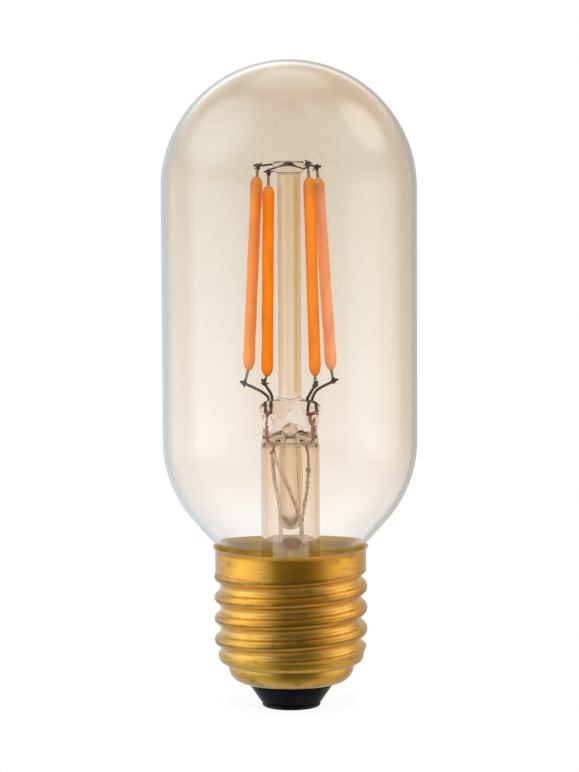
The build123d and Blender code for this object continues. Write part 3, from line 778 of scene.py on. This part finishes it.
# Dark metal with fine brighter scratches.
def contactMaterial(look):
    shader = Shader("contactMetal")
    scratch = shader.noise(shader.stretched((2.5, 0.5, 1.0)), 1.2, 4.0)
    shader.set(Base_Color=shader.mix(shader.range(scratch, 0.5, 0.75), look["metal"], look["worn"]))
    shader.set(Roughness=shader.range(scratch, 0.3, 0.7, 0.3, 0.5), Metallic=0.9)
    return shader.material


insulatorGrid = turnedGrid(insulatorLine(footLook), footLook["sides"])
addPiece("insulatorPiece", [gridMesh(insulatorGrid, "ring")], insulatorMaterial(footLook),
         ["insulator"], "insulator_glass")
contactGrid = turnedGrid(contactLine(footLook), footLook["sides"])
addPiece("contactPiece", [gridMesh(contactGrid)], contactMaterial(footLook),
         ["contact_pin"], "contact_metal")
print("foot done")


# Filaments, tabs and wires. Places are in millimetres: the ends of the coating, the crimps below and above,
# the knee of the lower lead and where that lead enters the pinch.
# Outer filament colours are painted light: the left brighter, the right paler as a painted reflection.
filamentPlaces = {
    "left_outer": {"foot": (-7.0, 2.4, 57.4), "head": (-5.39, 1.39, 90.5), "low": (-7.7, 2.5, 55.2),
                   "high": (-5.19, 1.29, 92.3), "knee": (-4.6, 1.0, 53.8), "entry": (-3.7, 0.45),
                   "colour": (0.97, 0.31, 0.03)},
    "left_inner": {"foot": (-3.8, -2.4, 56.9), "head": (-3.42, -1.51, 89.1), "low": (-4.3, -2.4, 55.8),
                   "high": (-3.42, -1.41, 91.4), "knee": (-3.1, -0.9, 53.6), "entry": (-3.0, -0.45),
                   "colour": (0.82, 0.20, 0.0)},
    "right_inner": {"foot": (4.3, -2.4, 56.9), "head": (3.41, -1.5, 90.5), "low": (4.3, -2.4, 55.4),
                    "high": (3.21, -1.4, 92.7), "knee": (3.2, -0.9, 53.4), "entry": (3.0, -0.45),
                    "colour": (0.80, 0.225, 0.02)},
    "right_outer": {"foot": (7.1, 2.4, 57.4), "head": (4.92, 1.41, 90.3), "low": (7.4, 2.5, 55.5),
                    "high": (4.72, 1.31, 92.1), "knee": (4.8, 1.0, 54.3), "entry": (3.85, 0.45),
                    "colour": (0.92, 0.385, 0.19)},
}
filamentLook = {
    "radius": 1.0,
    "footTaper": 2.1,
    "headTaper": 1.5,
    "endRun": 2.4,
    "swell": 0.06,
    "swellFall": (1.6, 5.5),
    "wave": 0.035,
    "end": (0.50, 0.20, 0.045),
    "endRise": (86.0, 90.0),
}
tabLook = {
    "width": 0.5,
    "thickness": 0.2,
    "overlap": 0.5,
    "lower": {"roll": (0.9, 0.38), "fold": (0.6, 0.28), "foldAt": (0.1, -0.1, 0.4),
              "foldAlong": (0.3, 0.2, 1), "strands": 4},
    "upper": {"roll": (0.9, 0.36), "fold": (0.6, 0.27), "foldAt": (0.1, -0.1, -0.4),
              "foldAlong": (0.2, 0.2, 1), "strands": 5, "rollAlong": (1, 0, 0.1)},
    "strand": 0.11,
    "fraySpread": (1.0, 0.7, 0.8),
    "frayReach": (0.55, 0.85),
    "frayCurl": 0.3,
    "frayKink": 0.02,
}
wireLook = {
    "lowerRadius": 0.24,
    "lowerStub": 0.95,
    "lowerBow": 0.06,
    "entryHeight": 53.0,
    "knotHeight": 50.4,
    "rear": {"radius": 0.18, "height": 1.35, "arch": 0.25},
    "front": {"radius": 0.14, "height": 0.75, "arch": 0.55},
    "buttonEntry": (-2.75, 2.6),
    "upperStub": 0.8,
    "metal": (0.085, 0.062, 0.05),
    "bright": (0.24, 0.195, 0.16),
    "bare": (0.50, 0.44, 0.37),
}


# Coated strip: a rod that swells near its ends and closes in a blunt round tip.
def filamentGrid(look, place, seed):
    foot, head = np.array(place["foot"]), np.array(place["head"])
    length = np.linalg.norm(head - foot)
    run = look["endRun"]
    along = np.concatenate([np.linspace(0, run, 26), np.linspace(run, length - run, 60)[1:-1],
                            np.linspace(length - run, length, 26)])
    taper = np.minimum(np.minimum(along / look["footTaper"], (length - along) / look["headTaper"]), 1)
    swell = 1 - ramp(np.minimum(along, length - along), *look["swellFall"])
    tip = np.sqrt(np.clip(1 - (1 - taper) ** 2, 0.004, 1))
    radius = look["radius"] * tip * (0.98 + look["swell"] * swell)
    path = foot + (head - foot) * (along / length)[:, None]
    grid = tubeGrid(path, radius, 28)
    wave = softNoise(grid, 9.0, seed)[:, :, None] * look["wave"]
    return grid + (grid - path[:, None, :]) * wave


# Satin coating in the colour given for the filament, faintly clouded lengthwise and browner at its upper
# end.
def filamentMaterial(look, name, base):
    shader = Shader("filament_" + name)
    cloud = shader.noise(shader.stretched((1.0, 1.0, 0.25)), 0.7, 3.0)
    light = tuple(min(1.0, c * 1.1) for c in base)
    dark = tuple(c * 0.94 for c in base)
    colour = shader.mix(shader.range(cloud, 0.35, 0.65), dark, light)
    end = shader.range(shader.height(), *look["endRise"], 0.0, 0.7)
    shader.set(Base_Color=shader.mix(end, colour, look["end"]), Roughness=0.7, Specular_IOR_Level=0.06)
    shader.bump(shader.noise(shader.place, 1.6, 2.0), 0.1, 0.15)
    return shader.material


# Dull wire with brighter patches, and clean metal where the attribute says bare.
def wireMaterial(name, metal, bright, metallic=0.75):
    shader = Shader(name)
    cloud = shader.noise(shader.place, 1.8, 4.0, 0.6)
    colour = shader.mix(shader.range(cloud, 0.4, 0.68), metal, bright)
    shader.set(Base_Color=shader.mix(shader.attribute("bare"), colour, wireLook["bare"]))
    shader.set(Roughness=shader.range(cloud, 0.3, 0.7, 0.32, 0.55), Metallic=metallic)
    return shader.material


# Radius along a tube: even, but drawn in to a round tip over the last rows at each end.
def roundEnds(radius, count):
    share = np.linspace(0, 1, count)
    close = np.minimum(share, 1 - share) * count
    return radius * np.sqrt(np.clip(1 - (1 - np.minimum(close / 2.5, 1)) ** 2, 0.05, 1))


# Wire: a smooth path through the points, shifted by soft noise into small kinks, round at both ends.
def wireGrid(points, radius, seed, wobble=0.05):
    path = smoothPath(points, 14)
    path = path + np.stack([softNoise(path, 3.1, seed + k) for k in range(3)], axis=1) * wobble
    return tubeGrid(path, roundEnds(radius, len(path)), 14)


# Crimped lump: a short thick roll, blunt at both ends, whose skin soft noise pushes in and out.
def lumpGrid(centre, direction, length, radius, seed):
    direction = np.array(direction, float)
    direction /= np.linalg.norm(direction)
    share = np.linspace(-1, 1, 18)
    path = np.array(centre) + direction * (share * length / 2)[:, None]
    reach = radius * np.clip(1 - np.abs(share) ** 5, 0.05, 1) ** 0.5
    grid = tubeGrid(path, reach, 18)
    out = grid - path[:, None, :]
    return path[:, None, :] + out * (1 + 0.45 * softNoise(grid, 0.75, seed)[:, :, None])


# Flat tab: a strip of rectangular section with softened edges, from one point to another.
def stripGrid(start, end, width, thickness):
    path = np.linspace(start, end, 8)
    ahead = path[-1] - path[0]
    ahead = ahead / np.linalg.norm(ahead)
    broad = np.cross(ahead, (0.0, 1.0, 0.0))
    broad /= np.linalg.norm(broad)
    thin = np.cross(broad, ahead)
    turn = np.linspace(0, fullTurn, 20, endpoint=False)
    across = np.sign(np.cos(turn)) * np.abs(np.cos(turn)) ** 0.3 * width / 2
    through = np.sign(np.sin(turn)) * np.abs(np.sin(turn)) ** 0.3 * thickness / 2
    ring = across[:, None] * broad + through[:, None] * thin
    return path[:, None, :] + ring[None, :, :]


# Frayed ends of a crimp: short thin wires that leave its middle in scattered directions and curl.
def frayGrids(look, centre, seed, count):
    rng = np.random.default_rng(seed)
    grids = []
    for strand in range(count):
        away, curl = rng.normal(size=(2, 3)) * look["fraySpread"]
        away *= rng.uniform(*look["frayReach"]) / np.linalg.norm(away)
        curl *= look["frayCurl"] / np.linalg.norm(curl)
        points = [centre, centre + away * 0.55, centre + away + curl]
        grids.append(gridMesh(wireGrid(points, look["strand"], seed + strand, look["frayKink"])))
    return grids


# Tab: a strip out of the coating, a roll and a fold crimped round the wire, and the frayed ends.
def tabGrids(look, start, crimp, rollAlong, which, rollSeed, foldSeed, fraySeed):
    end = look[which]
    return [
        gridMesh(stripGrid(start, crimp, look["width"], look["thickness"])),
        gridMesh(lumpGrid(crimp, rollAlong, *end["roll"], rollSeed)),
        gridMesh(lumpGrid(crimp + end["foldAt"], end["foldAlong"], *end["fold"], foldSeed)),
        *frayGrids(look, crimp, fraySeed, end["strands"]),
    ]


# One on the first grid, which is the strip of a tab, and zero on its crimps and frayed ends.
def bareShare(grids):
    return np.concatenate([np.full(len(verts), 0.0 if i else 1.0) for i, (verts, faces) in enumerate(grids)])


# Lower lead: from a stub past the crimp over the knee into the pinch, down to the weld knot.
def lowerRoute(look, place):
    low, knee = np.array(place["low"]), np.array(place["knee"])
    outward = (low - knee) / np.linalg.norm(low - knee)
    entry = np.array([*place["entry"], look["entryHeight"]])
    knot = np.array([*place["entry"], look["knotHeight"]])
    bow = (low + knee) / 2 + (0, 0, look["lowerBow"])
    return [low + outward * look["lowerStub"], low, bow, knee, entry, (entry + knot) / 2, knot]


# Upper wire: from stub to stub through the crimps and the button.
def upperRoute(look, left, right, which):
    start, end = np.array(filamentPlaces[left]["high"]), np.array(filamentPlaces[right]["high"])
    leftX, rightX = look["buttonEntry"]
    stub, z = look["upperStub"], stemLook["buttonBase"] + look[which]["height"]
    middle = (0, (start[1] + end[1]) / 2, z + look[which]["arch"])
    return [start + (-stub, 0, 0.1), start, (leftX, start[1], z - 0.05), middle,
            (rightX, end[1], z - 0.05), end, end + (stub, 0, 0.12)]


wireMetal = wireMaterial("wireSteel", wireLook["metal"], wireLook["bright"])
for count, (name, place) in enumerate(filamentPlaces.items()):
    addPiece(name + "Filament", [gridMesh(filamentGrid(filamentLook, place, 20 + count))],
             filamentMaterial(filamentLook, name, place["colour"]), [name + "_filament"], "filament_coating")
    foot, head, low, high, knee = (np.array(place[key]) for key in ("foot", "head", "low", "high", "knee"))
    overlap = (head - foot) / np.linalg.norm(head - foot) * tabLook["overlap"]
    lowSeeds = (31 + count, 41 + count, 131 + 10 * count)
    highSeeds = (51 + count, 61 + count, 181 + 10 * count)
    lowTab = tabGrids(tabLook, foot + overlap, low, low - knee, "lower", *lowSeeds)
    highTab = tabGrids(tabLook, head - overlap, high, tabLook["upper"]["rollAlong"], "upper", *highSeeds)
    for end, tab in (("Lower", lowTab), ("Upper", highTab)):
        addPiece(name + end + "Tab", tab, wireMetal, [f"{name}_{end.lower()}_tab"], "wire_steel",
                 bare=bareShare(tab))
    lowerLead = wireGrid(lowerRoute(wireLook, place), wireLook["lowerRadius"], 71 + count)
    addPiece(name + "LowerLead", [gridMesh(lowerLead)], wireMetal, [name + "_lower_lead"], "wire_steel")
for which, pair, seed in (("rear", "outer", 91), ("front", "inner", 95)):
    route = upperRoute(wireLook, "left_" + pair, "right_" + pair, which)
    addPiece(which + "UpperWire", [gridMesh(wireGrid(route, wireLook[which]["radius"], seed))], wireMetal,
             [which + "_upper_wire"], "wire_steel")
print("filaments and wires done")


# Seal wires in the pinch and flexible leads in the flare
leadLook = {
    "laneRadius": 3.1,
    "fork": (198.5, 43.8),  # direction from the axis and height
    "bend": (-6.0, 43.5),
    "bead": (-10.0, 40.7),
    "sealRadius": 0.21,
    "sealRoute": ((3.45, 0, 50.4), (3.3, 0.05, 48.2), (3.1, 0.1, 46.3)),
    "knotX": 3.4,
    "leadRadius": 0.3,
    "strandRadius": 0.19,
    "strandPitch": 2.4,
    "leftKnot": ((0.2, 0, 1), 1.1, 0.38),  # direction, length and radius
    "forkKnot": ((0.1, 0, 1), 1.1, 0.4),
    "rightKnot": ((1, 0, 0.2), 1.6, 0.34),
    "beadKnot": ((0.1, 0, 1), 0.9, 0.42),
    "left": ((211, 0.29), (234, 0.57), (239, 0.8), (239.5, 1.0)),  # direction, share of the way down
    "cross": ((238, 0.17), (270, 0.44), (300, 0.74), (311, 1.0)),
    "right": ((20, 0.33), (43, 0.64), (54, 1.0)),
    "boardTop": 29.8,
    "boardHalf": 0.4,
    "landingDrop": 0.9,
    "copper": (0.33, 0.13, 0.08),
    "copperBright": (0.56, 0.29, 0.19),
    "sleeve": (0.56, 0.43, 0.31),
    "sleeveDark": (0.36, 0.245, 0.155),
}
sealMetal = wireMaterial("sealCopper", leadLook["copper"], leadLook["copperBright"])
sleeve = wireMaterial("leadSleeve", leadLook["sleeveDark"], leadLook["sleeve"], 0.0)


# Point between the exhaust tube and the flare's wall, by direction and height.
def lanePoint(look, angle, z):
    turn = math.radians(angle)
    return (look["laneRadius"] * math.cos(turn), look["laneRadius"] * math.sin(turn), z)


# Upper stretch of a seal wire, side is -1 or 1.
def sealRoute(look, side):
    return [(side * x, y, z) for x, y, z in look["sealRoute"]]


# Route of a lead: directions from the axis, each with its share of the way down, then level to the board.
def leadRoute(look, start, turns):
    fall = look["boardTop"] - look["landingDrop"] - start[2]
    points = [lanePoint(look, angle, start[2] + fall * share) for angle, share in turns]
    x, y, z = points[-1]
    return [start, *points, (x, y * 0.45, z), (x, math.copysign(look["boardHalf"], y), z)]


# Two strands wound round each other: each runs beside the path, a half turn apart.
def twistedGrids(points, strand, pitch):
    path = smoothPath(points, 40)
    run = np.concatenate([[0], np.cumsum(np.linalg.norm(np.diff(path, axis=0), axis=1))])
    grids = []
    for offset in (0.0, math.pi):
        turn = run / pitch * fullTurn + offset
        side = np.stack([np.cos(turn), np.sin(turn), np.zeros_like(turn)], axis=1) * strand * 0.95
        grids.append(gridMesh(tubeGrid(path + side, roundEnds(strand, len(path)), 10)))
    return grids


fork, bend, bead = (lanePoint(leadLook, *leadLook[key]) for key in ("fork", "bend", "bead"))
knotX, knotZ = leadLook["knotX"], wireLook["knotHeight"]
leftSeal = wireGrid([*sealRoute(leadLook, -1), fork], leadLook["sealRadius"], 101)
rightSeal = wireGrid([*sealRoute(leadLook, 1), bend, bead], leadLook["sealRadius"], 104)
leftKnot = lumpGrid((-knotX, 0, knotZ), *leadLook["leftKnot"], 102)
forkKnot = lumpGrid(fork, *leadLook["forkKnot"], 103)
rightKnot = lumpGrid((knotX, 0, knotZ), *leadLook["rightKnot"], 105)
beadKnot = lumpGrid(bead, *leadLook["beadKnot"], 106)
addPiece("leftSeal", [gridMesh(grid) for grid in (leftSeal, leftKnot, forkKnot)], sealMetal,
         ["left_seal_wire"], "seal_copper")
addPiece("rightSeal", [gridMesh(grid) for grid in (rightSeal, rightKnot, beadKnot)], sealMetal,
         ["right_seal_wire"], "seal_copper")
for key, seed in (("left", 111), ("cross", 112)):
    leadGrid = wireGrid(leadRoute(leadLook, fork, leadLook[key]), leadLook["leadRadius"], seed)
    addPiece(key + "Lead", [gridMesh(leadGrid)], sleeve, [key + "_lead"], "lead_sleeve")
rightRoute = leadRoute(leadLook, bead, leadLook["right"])
addPiece("rightLead", twistedGrids(rightRoute, leadLook["strandRadius"], leadLook["strandPitch"]), sleeve,
         ["right_lead"], "lead_sleeve")
print("leads done")


# Driver and cement: the part's own solids with their finishes, each dark, light, roughness and gloss
plainFinishes = {
    "cement_ring": ((0.36, 0.22, 0.055), (0.50, 0.33, 0.09), 0.9, 0.02),
    "driver_board": ((0.44, 0.34, 0.21), (0.53, 0.42, 0.28), 0.6, 0.1),
    "film_capacitor": ((0.22, 0.10, 0.025), (0.30, 0.15, 0.04), 0.45, 0.2),
    "bridge_rectifier": ((0.02, 0.02, 0.02), (0.035, 0.034, 0.033), 0.5, 0.4),
    "driver_chip": ((0.02, 0.02, 0.02), (0.035, 0.034, 0.033), 0.5, 0.4),
    "choke": ((0.03, 0.028, 0.027), (0.05, 0.047, 0.045), 0.6, 0.3),
    "fuse_resistor": ((0.08, 0.14, 0.11), (0.11, 0.18, 0.14), 0.45, 0.5),
}
for node, (dark, light, rough, gloss) in plainFinishes.items():
    shader = Shader(node + "Finish")
    grain = shader.noise(shader.place, 1.1, 4.0)
    shader.set(Base_Color=shader.mix(shader.range(grain, 0.35, 0.65), dark, light))
    shader.set(Roughness=rough, Specular_IOR_Level=gloss)
    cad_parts[node].data.materials[0] = shader.material
metalFinishes = {
    "smoothing_capacitor": ((0.42, 0.42, 0.43), (0.52, 0.52, 0.53)),
    "shell_lead": ((0.33, 0.12, 0.05), (0.5, 0.2, 0.1)),
}
for node, (dark, light) in metalFinishes.items():
    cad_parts[node].data.materials[0] = wireMaterial(node + "Finish", dark, light)
print("driver done")


# Lamps: soft boxes at both sides in front, above and behind. Places and sizes are in metres.
lampLook = {
    "leftBox": {"place": (-0.42, -0.40, 0.22), "aim": (0, 0, 0.06), "size": (0.3, 0.42), "watts": 2.5},
    "rightBox": {"place": (0.42, -0.40, 0.22), "aim": (0, 0, 0.06), "size": (0.3, 0.42), "watts": 2.5},
    "topBox": {"place": (0.0, -0.12, 0.62), "aim": (0, 0, 0.08), "size": (0.3, 0.2), "watts": 1.2},
    "backBox": {"place": (0.0, 0.60, 0.24), "aim": (0, 0, 0.06), "size": (0.4, 0.42), "watts": 1.6},
}
for name, box in lampLook.items():
    lampData = bpy.data.lights.new(name, "AREA")
    lampData.shape = "RECTANGLE"
    lampData.size, lampData.size_y = box["size"]
    lampData.energy = box["watts"]
    lamp = bpy.data.objects.new(name, lampData)
    lamp.location = box["place"]
    lamp.rotation_euler = (Vector(box["aim"]) - Vector(box["place"])).to_track_quat("-Z", "Y").to_euler()
    scene.collection.objects.link(lamp)
    lamp.visible_camera = False
    lamp.visible_transmission = False
    lamp.visible_glossy = False


# Floor: plain and white, with a faint shadow close to the foot
floorLook = {
    "radius": 400.0,
    "drop": 0.02,
    "shadowReach": (9.0, 45.0),
    "shade": (0.16, 0.16, 0.16),
    "glow": 0.87,
}


# Flat disc a little below the foot: rings from its rim inwards, closer together near the axis.
def floorGrid(look):
    reach = look["radius"] * np.linspace(1.0, 0.0005, 40) ** 2
    return turnedGrid(np.stack([reach, np.full(len(reach), -look["drop"])], axis=1), 64)


# White by its own glow, a little dimmer close to the foot, where the lamps light it too.
def floorMaterial(look):
    shader = Shader("floorWhite")
    near = shader.range(shader.distance(), *look["shadowReach"])
    shader.set(Base_Color=shader.mix(near, look["shade"], (0.0, 0.0, 0.0)))
    shader.set(Emission_Strength=shader.range(near, 0.0, 1.0, look["glow"], 1.0))
    shader.set(Emission_Color=(1, 1, 1, 1))
    shader.set(Roughness=1.0, Specular_IOR_Level=0.0)
    return shader.material


floor = addObject("floor", [gridMesh(floorGrid(floorLook), "open", flip=True)], floorMaterial(floorLook))
floor.visible_glossy = False
floor.visible_transmission = False
floor.visible_diffuse = False
floor.visible_shadow = False
print("floor done")


# World
roomLook = {
    "glow": (1, 0.985, 0.965),
    "glowStrength": 0.46,
    "inside": (0.80, 0.72, 0.63),
    "front": 0.13,
    "side": 0.5,
    "back": (0.3, 0.12),  # at the left and at the right
    "floor": 0.12,
    "cool": (0.86, 0.95, 1.0),
    "warm": (1.0, 0.95, 0.86),
    "panels": ((-64, 42, 1.7), (-112, 34, 0.75), (83, 40, 1.2)),  # direction, half width, strength
    "panelLower": 0.2,  # strength of a panel at its foot and above its waist
    "panelUpper": 0.2,
    "frontToSide": (-1.0, 0.1),  # these are stretches of the direction's forward, sideways or upward part
    "sideToBack": (0.5, 0.95),
    "backLeftToRight": (-0.1, 0.1),
    "coolToWarm": (-0.5, 0.8),
    "floorFall": (-0.25, -0.8),
    "panelFoot": (-0.4, -0.05),
    "panelWaist": (-0.05, 0.3),
    "panelHead": (0.65, 1.0),
    "nearRise": (0.1, 0.4),
    "farRise": (0.1, 0.35),
    "spots": (((-0.78, 0.02, 0.625), 40, 1.0), ((0.76, 0.20, 0.62), 24, 1.2), ((0.0, 0.5, 0.866), 26, 0.7)),
    "nearGain": (0.9, 2.5),  # low and high up
    "farGain": (1.4, 0.05),
    "farDepth": 3.0,  # passes through a glass surface, more than
    "deepDepth": 5.5,
    "bounces": 24,
    "glossyBounces": 10,
    "glassBounces": 20,
}


# White behind and straight through the glass, and an even glow for matt surfaces. Mirrored, it is a room
# that is dark towards the camera's side, cool at the left and warm at the right, with a little light from
# the floor, soft panels at the sides and soft spots high up. An echo is a reflection that has also gone
# through glass: near ones come from the front wall, far ones from the back, and deep ones show the inside.
def makeWorld(look):
    world = bpy.data.worlds.new("room")
    scene.world = world
    world.use_nodes = True
    tree = world.node_tree
    tree.nodes.clear()

    def node(kind, operation=None, *values):
        return addNode(tree, kind, operation, *values)

    def ease(source, low, high, start, end):
        made = node("MapRange", None, source, low, high, start, end)
        made.interpolation_type = "SMOOTHERSTEP"
        return made.outputs["Result"]

    def reckon(operation, first, second):
        return node("Math", operation, first, second).outputs[0]

    def times(first, second):
        return reckon("MULTIPLY", first, second)

    def plus(first, second):
        return reckon("ADD", first, second)

    def without(source):
        return reckon("SUBTRACT", 1.0, source)

    def background(colour, strength):
        return node("Background", None, colour, strength).outputs[0]

    def either(factor, first, second):
        return node("MixShader", None, factor, first, second).outputs[0]

    # A soft lobe round a direction, as wide as the angle.
    def lobe(source, aim, width, strength):
        near = node("VectorMath", "DOT_PRODUCT", source, aim).outputs["Value"]
        return ease(near, math.cos(math.radians(width)), 1.0, 0.0, strength)

    direction = node("TexCoord").outputs["Generated"]
    x, y, z = node("SeparateXYZ", None, direction).outputs
    flat = node("VectorMath", "MULTIPLY", direction, (1, 1, 0)).outputs[0]
    level = node("VectorMath", "NORMALIZE", flat).outputs[0]
    room = ease(y, *look["frontToSide"], look["front"], look["side"])
    back = ease(x, *look["backLeftToRight"], *look["back"])
    room = plus(room, times(ease(y, *look["sideToBack"], 0.0, 1.0), back))
    room = plus(room, ease(z, *look["floorFall"], 0.0, look["floor"]))
    rise = times(ease(z, *look["panelFoot"], look["panelLower"], 1.0), ease(z, *look["panelHead"], 1.0, 0.0))
    rise = times(rise, ease(z, *look["panelWaist"], 1.0, look["panelUpper"]))
    for angle, width, strength in look["panels"]:
        aim = (math.sin(math.radians(angle)), -math.cos(math.radians(angle)), 0)
        room = plus(room, times(lobe(level, aim, width, strength), rise))
    for aim, width, strength in look["spots"]:
        room = plus(room, lobe(direction, aim, width, strength))
    colour = node("Mix", None, ease(x, *look["coolToWarm"], 0.0, 1.0))
    colour.data_type = "RGBA"
    colour.inputs[6].default_value = (*look["cool"], 1)
    colour.inputs[7].default_value = (*look["warm"], 1)

    path = node("LightPath").outputs
    straight = reckon("LESS_THAN", path["Glossy Depth"], 0.5)
    seen = reckon("MAXIMUM", path["Is Camera Ray"], times(path["Is Transmission Ray"], straight))
    echo = times(path["Is Transmission Ray"], without(straight))
    reflected = reckon("MAXIMUM", path["Is Glossy Ray"], echo)
    far = reckon("GREATER_THAN", path["Transmission Depth"], look["farDepth"])
    deep = times(echo, reckon("GREATER_THAN", path["Transmission Depth"], look["deepDepth"]))
    nearGain = times(without(far), ease(z, *look["nearRise"], *look["nearGain"]))
    farGain = times(far, ease(z, *look["farRise"], *look["farGain"]))
    gain = plus(times(echo, plus(nearGain, farGain)), without(echo))
    mirror = background(colour.outputs[2], times(room, gain))
    mirrored = either(reflected, background((*look["glow"], 1), look["glowStrength"]), mirror)
    mirrored = either(deep, mirrored, background((*look["inside"], 1), 1.0))
    final = either(seen, mirrored, background((1, 1, 1, 1), 1.0))
    node("OutputWorld", None, final)


makeWorld(roomLook)
scene.view_settings.view_transform = "Standard"
scene.cycles.max_bounces = roomLook["bounces"]
scene.cycles.glossy_bounces = roomLook["glossyBounces"]
scene.cycles.transmission_bounces = roomLook["glassBounces"]


# Camera: its place is in metres
cameraLook = {
    "place": (0.0, -0.6349, 0.1266),
    "pitch": 6.435,
    "roll": 0.3,
    "lens": 175.7,
    "shift": 0.0025,
}
cameraData = bpy.data.cameras.new("camera")
cameraData.lens = cameraLook["lens"]
cameraData.shift_x = cameraLook["shift"]
camera = bpy.data.objects.new("camera", cameraData)
camera.location = cameraLook["place"]
camera.rotation_mode = "XYZ"
camera.rotation_euler = (math.radians(90 - cameraLook["pitch"]), math.radians(cameraLook["roll"]), 0)
scene.collection.objects.link(camera)
scene.camera = camera
print("lights and camera done")
